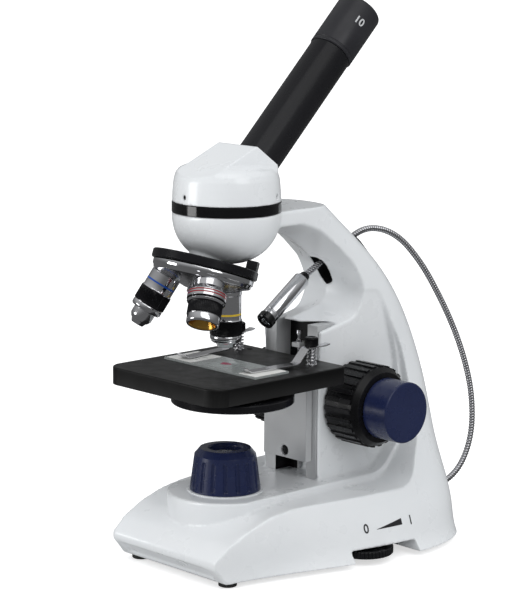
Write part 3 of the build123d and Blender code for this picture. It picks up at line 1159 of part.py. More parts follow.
def main():
    parts = build()
    box = Compound([shape for part in parts.values() for shape in part.solids()]).bounding_box()
    middle_y = (box.min.Y + box.max.Y) / 2
    middle_x = (box.min.X + box.max.X) / 2
    print("middle of the box", round(middle_x, 3), round(middle_y, 3), "lowest", round(box.min.Z, 4))
    print("box", [round(v, 2) for v in (*box.min, *box.max)])
    os.makedirs("parts", exist_ok=True)
    for name, part in parts.items():
        export_step(Pos(-middle_x, -middle_y, 0) * part, f"parts/{name}.step")
    print(len(parts), "nodes")


if __name__ == "__main__":
    main()
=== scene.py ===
"""Looks for a student compound microscope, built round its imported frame.

Sizes are written in millimetres from the optical axis, as a maker measures them: X to the right,
Y from the stage to the arm, Z up from the table.  Datum turns them into metres in the shared frame.
"""

import logging
from dataclasses import dataclass, field, replace
from enum import Enum
from math import cos, hypot, pi, radians, sin, tan
from typing import Iterable, Sequence

import bpy
from mathutils import Euler, Matrix, Vector


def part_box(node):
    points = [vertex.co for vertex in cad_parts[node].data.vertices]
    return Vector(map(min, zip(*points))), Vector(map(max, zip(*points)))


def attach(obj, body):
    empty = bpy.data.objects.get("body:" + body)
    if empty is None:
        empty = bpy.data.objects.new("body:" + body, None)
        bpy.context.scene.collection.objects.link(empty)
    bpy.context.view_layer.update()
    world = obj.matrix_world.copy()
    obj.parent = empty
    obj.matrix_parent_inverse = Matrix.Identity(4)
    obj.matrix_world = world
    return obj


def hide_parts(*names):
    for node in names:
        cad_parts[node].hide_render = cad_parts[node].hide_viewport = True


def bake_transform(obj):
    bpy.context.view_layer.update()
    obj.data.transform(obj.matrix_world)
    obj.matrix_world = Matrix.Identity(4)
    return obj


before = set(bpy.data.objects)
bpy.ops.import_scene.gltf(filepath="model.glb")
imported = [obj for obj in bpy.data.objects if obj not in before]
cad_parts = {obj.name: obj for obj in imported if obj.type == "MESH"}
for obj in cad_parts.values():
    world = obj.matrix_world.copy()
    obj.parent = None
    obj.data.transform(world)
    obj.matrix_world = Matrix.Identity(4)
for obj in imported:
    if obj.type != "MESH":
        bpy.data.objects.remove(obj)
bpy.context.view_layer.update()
LOG = logging.getLogger("microscope")
MM = 0.001

Colour = tuple[float, float, float]
Outline = Sequence["Turning"]


class Body(str, Enum):
    """The moving bodies of the microscope."""

    STAND = "stand"
    LAMP_NECK = "lamp_neck"
    LAMP = "lamp"
    STAGE = "stage"
    SLIDE = "slide"
    HEAD = "head"
    EYEPIECE = "eyepiece"
    NOSEPIECE = "nosepiece"
    HIGH_NOSE = "high_nose"


class Slot(str, Enum):
    """Names of the material slots that new pieces are handed over with."""

    CASTING = "white_casting"
    CHROME = "chrome"
    BLACK_METAL = "black_metal"
    BLACK_KNURL = "black_knurl"
    HOSE = "steel_hose"
    BLACK_PLASTIC = "black_plastic"
    GLASS = "clear_glass"


# ---------------------------------------------------------------- finishes
class NodeKit:
    """Short calls for wiring one material's nodes."""

    def __init__(self, material: bpy.types.Material) -> None:
        """Start from an empty node tree.

        Args:
            material: the material to wire.
        """
        material.use_nodes = True
        self.tree = material.node_tree
        self.tree.nodes.clear()
        self.shader = self.add("ShaderNodeBsdfPrincipled")
        output = self.add("ShaderNodeOutputMaterial")
        self.join(self.shader.outputs[0], output.inputs["Surface"])
        self.place = self.add("ShaderNodeTexCoord").outputs["Object"]

    def add(self, kind: str, **values: float) -> bpy.types.Node:
        """Add a node.

        Args:
            kind: the node's type.
            values: settings by name; a name with a capital is an input socket.

        Returns:
            The new node.
        """
        node = self.tree.nodes.new(kind)
        for name, value in values.items():
            if name[0].isupper():
                node.inputs[name.replace("_", " ")].default_value = value
            else:
                setattr(node, name, value)
        return node

    def join(self, source: bpy.types.NodeSocket, target: bpy.types.NodeSocket) -> None:
        """Link one socket to another."""
        self.tree.links.new(source, target)

    def noise(self, size: float, detail: float = 3.0, stretch: Colour = (1, 1, 1),
              place: bpy.types.NodeSocket | None = None) -> bpy.types.NodeSocket:
        """Noise whose features are about so large.

        Args:
            size: size of a feature in metres.
            detail: how many finer layers it has.
            stretch: scale along each axis, for streaks.
            place: where the pattern's coordinates come from; the object's own if left out.

        Returns:
            The factor socket, about 0.3 to 0.7.
        """
        mapping = self.add("ShaderNodeMapping")
        mapping.inputs["Scale"].default_value = stretch
        self.join(place or self.place, mapping.inputs["Vector"])
        noise = self.add("ShaderNodeTexNoise", Scale=1.0 / size, Detail=detail)
        self.join(mapping.outputs[0], noise.inputs["Vector"])
        return noise.outputs[0]

    def spread(self, source: bpy.types.NodeSocket, low: float, high: float, least: float = 0.3,
               most: float = 0.7) -> bpy.types.NodeSocket:
        """A factor stretched to run from low to high.

        Args:
            source: the factor; noise if least and most are left out.
            low: what least becomes.
            high: what most becomes.
            least: lowest value that counts.
            most: highest value that counts.

        Returns:
            The stretched factor.
        """
        ranged = self.add("ShaderNodeMapRange")
        self.join(source, ranged.inputs["Value"])
        for name, value in (("From Min", least), ("From Max", most), ("To Min", low), ("To Max", high)):
            ranged.inputs[name].default_value = value
        return ranged.outputs[0]

    def edges(self) -> bpy.types.NodeSocket:
        """How far the surface stands out, about 0.5 where it is flat."""
        return self.add("ShaderNodeNewGeometry").outputs["Pointiness"]

    def over(self, factor: bpy.types.NodeSocket, under: bpy.types.NodeSocket | Colour,
             top: Colour) -> bpy.types.NodeSocket:
        """A colour laid over another.

        Args:
            factor: how much of the top colour shows.
            under: the colour below, plain or from a socket.
            top: the colour on top.

        Returns:
            The mixed colour.
        """
        mix = self.add("ShaderNodeMix", data_type="RGBA")
        self.join(factor, mix.inputs[0])
        if isinstance(under, tuple):
            mix.inputs[6].default_value = (*under, 1)
        else:
            self.join(under, mix.inputs[6])
        mix.inputs[7].default_value = (*top, 1)
        return mix.outputs[2]


@dataclass(frozen=True)
class Finish:
    """One surface finish.  Sizes are in metres, so grain has its real size on every piece."""

    name: str
    colour: Colour
    drift: Colour
    roughness: float
    gloss_drift: float = 0.06
    metallic: float = 0.0
    grain: float = 0.0005
    relief: float = 0.00001
    patch: float = 0.03
    softened_edge: float = 0.0
    coat: float = 0.0
    shine: float = 0.5

    def made(self) -> bpy.types.Material:
        """The finish as a material, wired once and shared afterwards."""
        ready = bpy.data.materials.get(self.name)
        if ready is None:
            ready = bpy.data.materials.new(self.name)
            kit = NodeKit(ready)
            self.wire(kit)
            self.detail(kit)
        return ready

    def wire(self, kit: NodeKit) -> None:
        """Colour drift, uneven gloss and fine relief, which every finish has.

        Args:
            kit: the material's nodes.
        """
        shader = kit.shader.inputs
        shader["Metallic"].default_value = self.metallic
        shader["Coat Weight"].default_value = self.coat
        shader["Specular IOR Level"].default_value = self.shine
        kit.join(self.tone(kit), shader["Base Color"])
        gloss = kit.spread(kit.noise(self.patch * 0.3, 5), self.roughness - self.gloss_drift,
                           self.roughness + self.gloss_drift)
        kit.join(gloss, shader["Roughness"])
        bump = kit.add("ShaderNodeBump", Strength=1.0, Distance=self.relief)
        kit.join(self.height(kit), bump.inputs["Height"])
        if self.softened_edge:
            edge = kit.add("ShaderNodeBevel", samples=4, Radius=self.softened_edge)
            kit.join(edge.outputs[0], bump.inputs["Normal"])
        kit.join(bump.outputs[0], shader["Normal"])

    def tone(self, kit: NodeKit) -> bpy.types.NodeSocket:
        """The colour, drifting slowly over the surface."""
        return kit.over(kit.spread(kit.noise(self.patch), 0, 1), self.colour, self.drift)

    def height(self, kit: NodeKit) -> bpy.types.NodeSocket:
        """The fine relief."""
        return kit.noise(self.grain, 2)

    def detail(self, kit: NodeKit) -> None:
        """What only this kind of finish has."""


@dataclass(frozen=True)
class PowderCoat(Finish):
    """Baked white coat on a casting: faint orange peel, a shade greyer where hands and cloths leave a film."""

    film: Colour = (0.76, 0.78, 0.80)

    def tone(self, kit: NodeKit) -> bpy.types.NodeSocket:
        """Coat colour under broad, barely seen patches of film."""
        return kit.over(kit.spread(kit.noise(0.035, 1), 0.0, 0.3), super().tone(kit), self.film)

    def height(self, kit: NodeKit) -> bpy.types.NodeSocket:
        """Orange peel: soft dimples about a millimetre across."""
        return kit.noise(0.0016, 1)


@dataclass(frozen=True)
class WoundStrip(Finish):
    """Wound metal strip, with painted shade darkening the grooves between its turns."""

    # Colour of the painted shade laid in the grooves between the turns.
    groove_shade: Colour = (0.035, 0.035, 0.038)

    def tone(self, kit: NodeKit) -> bpy.types.NodeSocket:
        """Metal colour, darkened by painted shade where the strip dips."""
        return kit.over(kit.spread(kit.edges(), 1, 0, 0.40, 0.52), super().tone(kit), self.groove_shade)


@dataclass(frozen=True)
class LitPaper(Finish):
    """Backdrop paper lit so evenly that it hardly shades, but that throws little light on the microscope."""

    glow: float = 0.62

    def detail(self, kit: NodeKit) -> None:
        """Let it give light of its own, straight to the lens only.

        Args:
            kit: the material's nodes.
        """
        kit.shader.inputs["Emission Color"].default_value = (1, 1, 1, 1)
        seen = kit.add("ShaderNodeLightPath").outputs["Is Camera Ray"]
        kit.join(kit.spread(seen, 0, self.glow, 0, 1), kit.shader.inputs["Emission Strength"])


@dataclass(frozen=True)
class WornPaint(Finish):
    """Dark enamel or anodising that has rubbed a little lighter along its edges."""

    rubbed: Colour = (0.12, 0.12, 0.125)
    rub: float = 0.5

    def tone(self, kit: NodeKit) -> bpy.types.NodeSocket:
        """Paint colour, rubbed on outer edges."""
        return kit.over(kit.spread(kit.edges(), 0, self.rub, 0.54, 0.62), super().tone(kit), self.rubbed)


@dataclass(frozen=True)
class TurnedMetal(Finish):
    """Metal turned on a lathe: fine rings round the piece's own Z axis."""

    metallic: float = 1.0
    softened_edge: float = 0.0002
    ring: float = 0.00025

    def height(self, kit: NodeKit) -> bpy.types.NodeSocket:
        """Rings that vary only along the axis."""
        lathe = kit.add("ShaderNodeAttribute", attribute_name="turned").outputs["Vector"]
        return kit.noise(self.ring, 2, stretch=(0.02, 0.02, 1.0), place=lathe)


@dataclass(frozen=True)
class BrushedMetal(Finish):
    """Rolled or drawn metal with long straight brush marks along Y."""

    metallic: float = 1.0
    softened_edge: float = 0.0002

    def height(self, kit: NodeKit) -> bpy.types.NodeSocket:
        """Streaks that run along Y."""
        return kit.noise(self.grain, 3, stretch=(1.0, 0.03, 1.0))


@dataclass(frozen=True)
class Glass(Finish):
    """Clear glass with a breath of fingerprints."""

    index: float = 1.5
    clear: float = 1.0

    def detail(self, kit: NodeKit) -> None:
        """Let light through."""
        kit.shader.inputs["Transmission Weight"].default_value = self.clear
        kit.shader.inputs["IOR"].default_value = self.index


@dataclass(frozen=True)
class StainedTissue(Finish):
    """Mounted specimen: blotches of red and violet stain on a pale ground."""

    stain: Colour = (0.42, 0.015, 0.05)

    def tone(self, kit: NodeKit) -> bpy.types.NodeSocket:
        """Cells of stain over the pale mount.

        Args:
            kit: the material's nodes.

        Returns:
            The colour.
        """
        cells = kit.add("ShaderNodeTexVoronoi", Scale=1 / 0.0011)
        kit.join(kit.place, cells.inputs["Vector"])
        return kit.over(kit.spread(cells.outputs["Distance"], 0.9, 0.1), super().tone(kit), self.stain)


WHITE_COAT = PowderCoat("white_powder_coat", (0.80, 0.825, 0.845), (0.83, 0.85, 0.865), 0.30, 0.05,
                        relief=0.000018, patch=0.05, coat=0.35)
WHITE_PLASTIC = Finish("white_trim_plastic", (0.84, 0.86, 0.88), (0.80, 0.82, 0.84), 0.28, 0.05,
                       relief=0.000004, softened_edge=0.0002, coat=0.2)
SATIN_BLACK = WornPaint("satin_black_enamel", (0.0025, 0.0025, 0.0035), (0.004, 0.004, 0.005), 0.24, 0.05,
                        grain=0.0003, relief=0.000005, patch=0.02, softened_edge=0.0003, shine=0.2,
                        rubbed=(0.05, 0.05, 0.055), rub=0.25)
STAGE_BLACK = WornPaint("stage_crackle_black", (0.003, 0.003, 0.003), (0.005, 0.005, 0.005), 0.38, 0.07,
                        grain=0.00045, relief=0.000018, patch=0.03, softened_edge=0.0006, shine=0.22,
                        rubbed=(0.05, 0.05, 0.05), rub=0.4)
# Lighter than the other blacks: partly the cap's greyer moulding, partly a painted sheen.
CAP_BLACK_AND_SHEEN = WornPaint("eyepiece_cap_black", (0.022, 0.022, 0.026), (0.028, 0.028, 0.032), 0.34, 0.05,
                      grain=0.0004, relief=0.000008, patch=0.02, softened_edge=0.0003, shine=0.3,
                      rubbed=(0.06, 0.06, 0.065), rub=0.25)
GLOSS_BLACK = Finish("gloss_black_enamel", (0.002, 0.002, 0.0025), (0.004, 0.004, 0.0045), 0.10, 0.04,
                     grain=0.0008, relief=0.000003, softened_edge=0.0005, shine=0.45)
BLACK_MOULDING = WornPaint("black_moulding", (0.0025, 0.0025, 0.003), (0.005, 0.005, 0.0055), 0.42, 0.08,
                           grain=0.0004, relief=0.000018, softened_edge=0.0004, shine=0.2,
                           rubbed=(0.04, 0.04, 0.045), rub=0.2)
GRIP_BLACK = WornPaint("grip_black_moulding", (0.0025, 0.0025, 0.003), (0.004, 0.004, 0.005), 0.30, 0.08,
                       grain=0.0005, relief=0.000012, softened_edge=0.0005, shine=0.25,
                       rubbed=(0.04, 0.04, 0.045), rub=0.3)
NAVY_MOULDING = Finish("navy_moulding", (0.011, 0.017, 0.060), (0.015, 0.022, 0.070), 0.28, 0.06,
                       grain=0.0004, relief=0.000008, softened_edge=0.0006, coat=0.1, shine=0.35)
CHROME = TurnedMetal("bright_chrome", (0.78, 0.78, 0.80), (0.70, 0.70, 0.72), 0.10, 0.05, relief=0.000003)
SATIN_CHROME = TurnedMetal("satin_chrome", (0.74, 0.74, 0.76), (0.66, 0.66, 0.68), 0.22, 0.06, relief=0.000006)
SHEET_CHROME = BrushedMetal("sheet_chrome", (0.76, 0.76, 0.78), (0.68, 0.68, 0.70), 0.16, 0.06,
                            grain=0.0003, relief=0.000004)
MACHINED_STEEL = BrushedMetal("machined_steel", (0.52, 0.52, 0.53), (0.44, 0.44, 0.45), 0.30, 0.08,
                              grain=0.0003, relief=0.000008)
HOSE_STEEL = WoundStrip("wound_steel_strip", (0.60, 0.60, 0.62), (0.50, 0.50, 0.52), 0.22, 0.06, metallic=1.0,
                        grain=0.0006, relief=0.000006)
GREY_ANODISED = BrushedMetal("grey_anodised", (0.60, 0.61, 0.62), (0.56, 0.57, 0.58), 0.36, 0.05, metallic=0.25,
                             grain=0.0004, relief=0.000008, softened_edge=0.0005)
BRONZE = Finish("sintered_bronze", (0.42, 0.24, 0.09), (0.36, 0.20, 0.08), 0.42, 0.08, metallic=1.0,
                grain=0.0003, relief=0.000015, softened_edge=0.0002)
GOLD_LINING = TurnedMetal("gold_lacquered_bore", (0.72, 0.43, 0.10), (0.55, 0.30, 0.06), 0.25, 0.06,
                          relief=0.00001, softened_edge=0.0)
RUBBER = Finish("foot_rubber", (0.020, 0.020, 0.020), (0.032, 0.032, 0.031), 0.75, 0.10,
                grain=0.0004, relief=0.00003, softened_edge=0.0004)
CIRCUIT_GREEN = Finish("solder_mask_green", (0.010, 0.12, 0.05), (0.012, 0.15, 0.06), 0.30, 0.08,
                       grain=0.0008, relief=0.00001, softened_edge=0.0002)
CELL_SLEEVE = Finish("cell_sleeve", (0.45, 0.30, 0.04), (0.40, 0.27, 0.04), 0.30, 0.06,
                     grain=0.0006, relief=0.000006, softened_edge=0.0003)
LENS_GLASS = Glass("coated_lens_glass", (0.90, 0.94, 0.96), (0.86, 0.91, 0.95), 0.05, 0.03, relief=0.000001)
SLIDE_GLASS = Glass("slide_glass", (0.90, 0.96, 0.95), (0.86, 0.93, 0.92), 0.06, 0.04, relief=0.000001,
                    clear=0.62)
LAMP_LENS = Glass("frosted_lamp_lens", (0.80, 0.82, 0.83), (0.70, 0.72, 0.74), 0.12, 0.06, relief=0.000002,
                  clear=0.45)
LABEL_PAPER = Finish("label_paper", (0.82, 0.82, 0.80), (0.76, 0.76, 0.73), 0.65, 0.08,
                     grain=0.0002, relief=0.00001, patch=0.006)
LABEL_INK = Finish("label_ink", (0.05, 0.05, 0.06), (0.09, 0.09, 0.10), 0.55, 0.08, grain=0.0002, relief=0.000004)
TISSUE = StainedTissue("stained_tissue", (0.40, 0.06, 0.14), (0.22, 0.02, 0.10), 0.45, 0.1, patch=0.002)
RED_RING = Finish("red_enamel_ring", (0.24, 0.004, 0.007), (0.20, 0.003, 0.006), 0.25, 0.05, relief=0.000003)
YELLOW_RING = Finish("yellow_enamel_ring", (0.75, 0.52, 0.03), (0.68, 0.46, 0.03), 0.25, 0.05, relief=0.000003)
BLUE_RING = Finish("blue_enamel_ring", (0.01, 0.08, 0.38), (0.01, 0.06, 0.30), 0.25, 0.05, relief=0.000003)
DARK_MARK = Finish("engraved_fill_dark", (0.010, 0.010, 0.012), (0.02, 0.02, 0.022), 0.5, 0.08, relief=0.000004)
PALE_MARK = Finish("engraved_fill_pale", (0.62, 0.63, 0.64), (0.55, 0.56, 0.57), 0.5, 0.08, relief=0.000004)


# ---------------------------------------------------------------- workshop
@dataclass(frozen=True)
class Datum:
    """The optical axis in the shared frame, found from a part that stands on it."""

    x: float
    y: float

    @classmethod
    def found(cls) -> "Datum":
        """The datum, from the middle of the illuminator's collar."""
        low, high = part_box("illuminator_collar")
        return cls((low.x + high.x) / 2, (low.y + high.y) / 2)

    def at(self, x: float, y: float, z: float) -> Vector:
        """Point in the shared frame, in metres, from millimetres about the optical axis."""
        return Vector((self.x + x * MM, self.y + y * MM, z * MM))


DATUM = Datum.found()


def put_in_scene(name: str, data: bpy.types.ID) -> bpy.types.Object:
    """Link a new object that shows a mesh, curve, lamp or camera.

    Args:
        name: its name.
        data: what it shows.

    Returns:
        The new object.
    """
    made = bpy.data.objects.new(name, data)
    bpy.context.scene.collection.objects.link(made)
    return made


def band(low: int, high: int, count: int) -> list[tuple[int, ...]]:
    """Quads between two closed rings of points, each ring with the same count."""
    return [(low * count + n, low * count + (n + 1) % count, high * count + (n + 1) % count, high * count + n)
            for n in range(count)]


@dataclass(frozen=True)
class Axle:
    """A line that round parts are turned about."""

    origin: Vector
    along: Vector
    toward: Vector = field(default_factory=lambda: Vector((1, 0, 0)))

    def frame(self) -> Matrix:
        """Matrix whose Z runs along the axle and whose X points as nearly as it can the way of toward."""
        z = self.along.normalized()
        x = (self.toward - z * self.toward.dot(z)).normalized()
        matrix = Matrix((x, z.cross(x), z)).transposed().to_4x4()
        matrix.translation = self.origin
        return matrix


@dataclass(frozen=True)
class Turning:
    """A point of a turned outline, and what the surface from it to the next point is like.

    Attributes:
        radius: distance from the axle, in millimetres.
        height: distance along the axle, in millimetres.
        finish: finish of the surface that leads on to the next point.
        ridges: number of knurled ridges round that surface, or 0.
        depth: how deep the ridges are cut, in millimetres.
    """

    radius: float
    height: float
    finish: Finish
    ridges: int = 0
    depth: float = 0.25

    def toward(self, other: "Turning", share: float) -> "Turning":
        """The same kind of point, some share of the way to another."""
        return replace(self, radius=self.radius + (other.radius - self.radius) * share,
                       height=self.height + (other.height - self.height) * share)


def run(finish: Finish, *points: tuple[float, float], ridges: int = 0, depth: float = 0.25) -> list[Turning]:
    """Turned points in a row that share a finish.

    Args:
        finish: finish of the surface that leads on from each of them.
        points: radius and height of each.
        ridges: number of ridges on the surface that leads on from the last one.
        depth: how deep those are cut, in millimetres.

    Returns:
        The points, in order.
    """
    *plain, last = points
    return [*(Turning(*point, finish) for point in plain), Turning(*last, finish, ridges, depth)]


class Workshop:
    """Makes meshes and hands them over as pieces of the microscope."""

    def piece(self, name: str, points: Iterable[Vector], faces: Iterable[Sequence[int]], finishes: Sequence[Finish],
              place: Matrix | None = None, which: Sequence[int] | None = None, smooth: bool = True,
              crease: float = 35.0) -> bpy.types.Object:
        """Turn points and faces into a shown object.

        Args:
            name: the piece's name.
            points: vertices in the piece's own frame.
            faces: vertex numbers of each face.
            finishes: the finishes that its faces use.
            place: the piece's frame; the shared frame if left out.
            which: which finish each face has; the first if left out.
            smooth: whether to shade it smooth between creases.
            crease: angle above which an edge stays sharp, in degrees.

        Returns:
            The new object.
        """
        mesh = bpy.data.meshes.new(name)
        mesh.from_pydata([tuple(p) for p in points], [], [tuple(f) for f in faces])
        for finish in finishes:
            mesh.materials.append(finish.made())
        if which is not None:
            mesh.polygons.foreach_set("material_index", list(which))
        mesh.validate()
        mesh.update()
        if smooth:
            mesh.shade_smooth()
            mesh.set_sharp_from_angle(angle=radians(crease))
        if place is not None:
            turned = mesh.attributes.new("turned", "FLOAT_VECTOR", "POINT")
            turned.data.foreach_set("vector", [value for vertex in mesh.vertices for value in vertex.co])
            mesh.transform(place)
        return put_in_scene(name, mesh)

    @staticmethod
    def settled(holder: bpy.types.Object) -> bpy.types.Mesh:
        """Mesh of an object as its modifiers or its curve leave it; the object itself goes.

        Args:
            holder: the object.

        Returns:
            The new mesh.
        """
        bpy.context.view_layer.update()
        mesh = bpy.data.meshes.new_from_object(holder.evaluated_get(bpy.context.evaluated_depsgraph_get()))
        bpy.data.objects.remove(holder)
        return mesh

    def hand_over(self, made: bpy.types.Object, body: Body, slot: Slot, replaces: Sequence[str] = ()) -> None:
        """Let a piece ride on its body, and hide the nodes of the frame that it stands for.

        Args:
            made: the piece.
            body: the body that carries it.
            slot: not used.
            replaces: nodes of the frame that it stands for.
        """
        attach(made, body.value)
        if replaces:
            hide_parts(*replaces)
        LOG.info("piece %s rides on %s, %d faces", made.name, body.value, len(made.data.polygons))

    def lathe(self, name: str, outline: Outline, axle: Axle, around: int = 96, closed: bool = False,
              chamfer: float = 0.18) -> bpy.types.Object:
        """Turn an outline about an axle, with its edges broken and its knurls cut.

        Args:
            name: the piece's name.
            outline: the turned points in order.
            axle: the line to turn about.
            around: number of steps round.
            closed: whether the last point runs back to the first.
            chamfer: size of the broken edges, in millimetres.

        Returns:
            The new object.
        """
        rows = self._broken(list(outline), closed, chamfer)
        finishes = list(dict.fromkeys(row.finish for row in rows))
        around = max([around] + [row.ridges * 4 for row in rows])
        points: list[Vector] = []
        for number, row in enumerate(rows):
            before = rows[number - 1]
            cut = max((row, before), key=lambda r: r.ridges) if number or closed else row
            for step in range(around):
                angle = 2 * pi * step / around
                radius = row.radius
                if cut.ridges and row.ridges and before.ridges:
                    radius -= cut.depth * (0.5 - 0.5 * cos(cut.ridges * angle))
                points.append(Vector((radius * cos(angle), radius * sin(angle), row.height)) * MM)
        faces, which = [], []
        for low in range(len(rows) if closed else len(rows) - 1):
            faces += band(low, (low + 1) % len(rows), around)
            which += [finishes.index(rows[low].finish)] * around
        return self.piece(name, points, faces, finishes, axle.frame(), which)

    @staticmethod
    def _broken(rows: list[Turning], closed: bool, chamfer: float) -> list[Turning]:
        """Break the corners of an outline and divide its knurled surfaces.

        Args:
            rows: the turned points in order.
            closed: whether the last point runs back to the first.
            chamfer: how far from a corner its two new points are, in millimetres.

        Returns:
            The new points, in order.
        """
        made: list[Turning] = []
        last = len(rows) - 1
        for number, row in enumerate(rows):
            before = rows[number - 1] if number or closed else None
            after = rows[(number + 1) % len(rows)] if number < last or closed else None
            if before is None or after is None or row.radius < 0.05:
                made.append(row)
                continue
            run_in = hypot(row.radius - before.radius, row.height - before.height)
            run_out = hypot(after.radius - row.radius, after.height - row.height)
            size_in, size_out = min(chamfer, run_in * 0.35), min(chamfer, run_out * 0.35)
            back, on = size_in / max(run_in, 1e-6), size_out / max(run_out, 1e-6)
            made += [replace(row.toward(before, back), ridges=0), row.toward(after, on)]
        divided: list[Turning] = []
        for row, after in zip(made, made[1:] + made[:1]):
            divided += [row, *(row.toward(after, share) for share in (0.06, 0.5, 0.94) if row.ridges)]
        return divided

    def rubbed_down(self, node: str, name: str, voxel: float, strokes: int, finish: Finish,
                    thin: float = 1.0) -> bpy.types.Object:
        """A casting's skin: the frame's node with every hard edge rubbed round, as paint and filing leave it.

        Args:
            node: the node of the frame.
            name: the piece's name.
            voxel: size of the skin's cells, in millimetres.
            strokes: how many times the skin is smoothed.
            finish: its finish.
            thin: share of the faces that is kept.

        Returns:
            The new object.
        """
        rough = put_in_scene(name + "_rough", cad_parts[node].data.copy())
        skin = rough.modifiers.new("skin", "REMESH")
        skin.mode = "VOXEL"
        skin.voxel_size = voxel * MM
        skin.adaptivity = 0.0
        rub = rough.modifiers.new("rub", "SMOOTH")
        rub.factor = 0.5
        rub.iterations = strokes
        if thin < 1:
            rough.modifiers.new("thin", "DECIMATE").ratio = thin
        rough.modifiers.new("even", "WEIGHTED_NORMAL").weight = 100
        mesh = self.settled(rough)
        mesh.name = name
        mesh.materials.clear()
        mesh.materials.append(finish.made())
        mesh.shade_smooth()
        return put_in_scene(name, mesh)

    def folded_sheet(self, name: str, runs: Sequence[tuple[Sequence[tuple[float, float]], float, float]],
                     thick: float, finish: Finish) -> bpy.types.Object:
        """Upright sheet folded along lines seen from above.

        Args:
            name: the piece's name.
            runs: for each sheet, its line's X and Y points, and its lowest and highest point.
            thick: how thick the sheet is, to the left of its line.
            finish: its finish.

        Returns:
            The new object.
        """
        points: list[Vector] = []
        faces: list[tuple[int, ...]] = []
        for line, low, high in runs:
            places = [Vector(p).to_3d() for p in line]
            inner = []
            for number, place in enumerate(places):
                ways = [(b - a).normalized() for a, b in zip(places, places[1:])]
                near = ways[max(number - 1, 0):number + 1]
                lean = sum((Vector((-way.y, way.x, 0)) for way in near), Vector()) / len(near)
                inner.append(place - lean * (thick / lean.length_squared))
            start, count = len(points), 2 * len(places)
            rim = [*places, *reversed(inner)]
            points += [DATUM.at(p.x, p.y, height) for height in (low, high) for p in rim]
            faces += [(start + n, start + (n + 1) % count, start + count + (n + 1) % count, start + count + n)
                      for n in range(count)]
            for base in (start, start + count):
                faces += [(base + n, base + n + 1, base + count - 2 - n, base + count - 1 - n)
                          for n in range(len(places) - 1)]
        return self.piece(name, points, faces, [finish], smooth=False)

    def lettering(self, text: str, size: float) -> tuple[list[Vector], list[tuple[int, ...]]]:
        """Flat mesh of a text, centred on the origin.

        Args:
            text: what it says.
            size: height of the letters, in metres.

        Returns:
            Its points and faces.
        """
        curve = bpy.data.curves.new("lettering", "FONT")
        curve.body = text
        curve.size = size
        curve.align_x = curve.align_y = "CENTER"
        curve.resolution_u = 6
        curve.offset = size * 0.018
        mesh = self.settled(put_in_scene("lettering", curve))
        return [vertex.co.copy() for vertex in mesh.vertices], [tuple(face.vertices) for face in mesh.polygons]

    def dress(self, finishes: dict[Finish, Sequence[str]]) -> None:
        """Give nodes of the frame their finishes.

        Args:
            finishes: the nodes that each finish goes on.
        """
        for finish, nodes in finishes.items():
            for node in nodes:
                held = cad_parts[node]
                if not held.material_slots:
                    raise ValueError(f"{node} has no material slot")
                for place in held.material_slots:
                    place.material = finish.made()
                LOG.info("node %s is %s", node, finish.name)


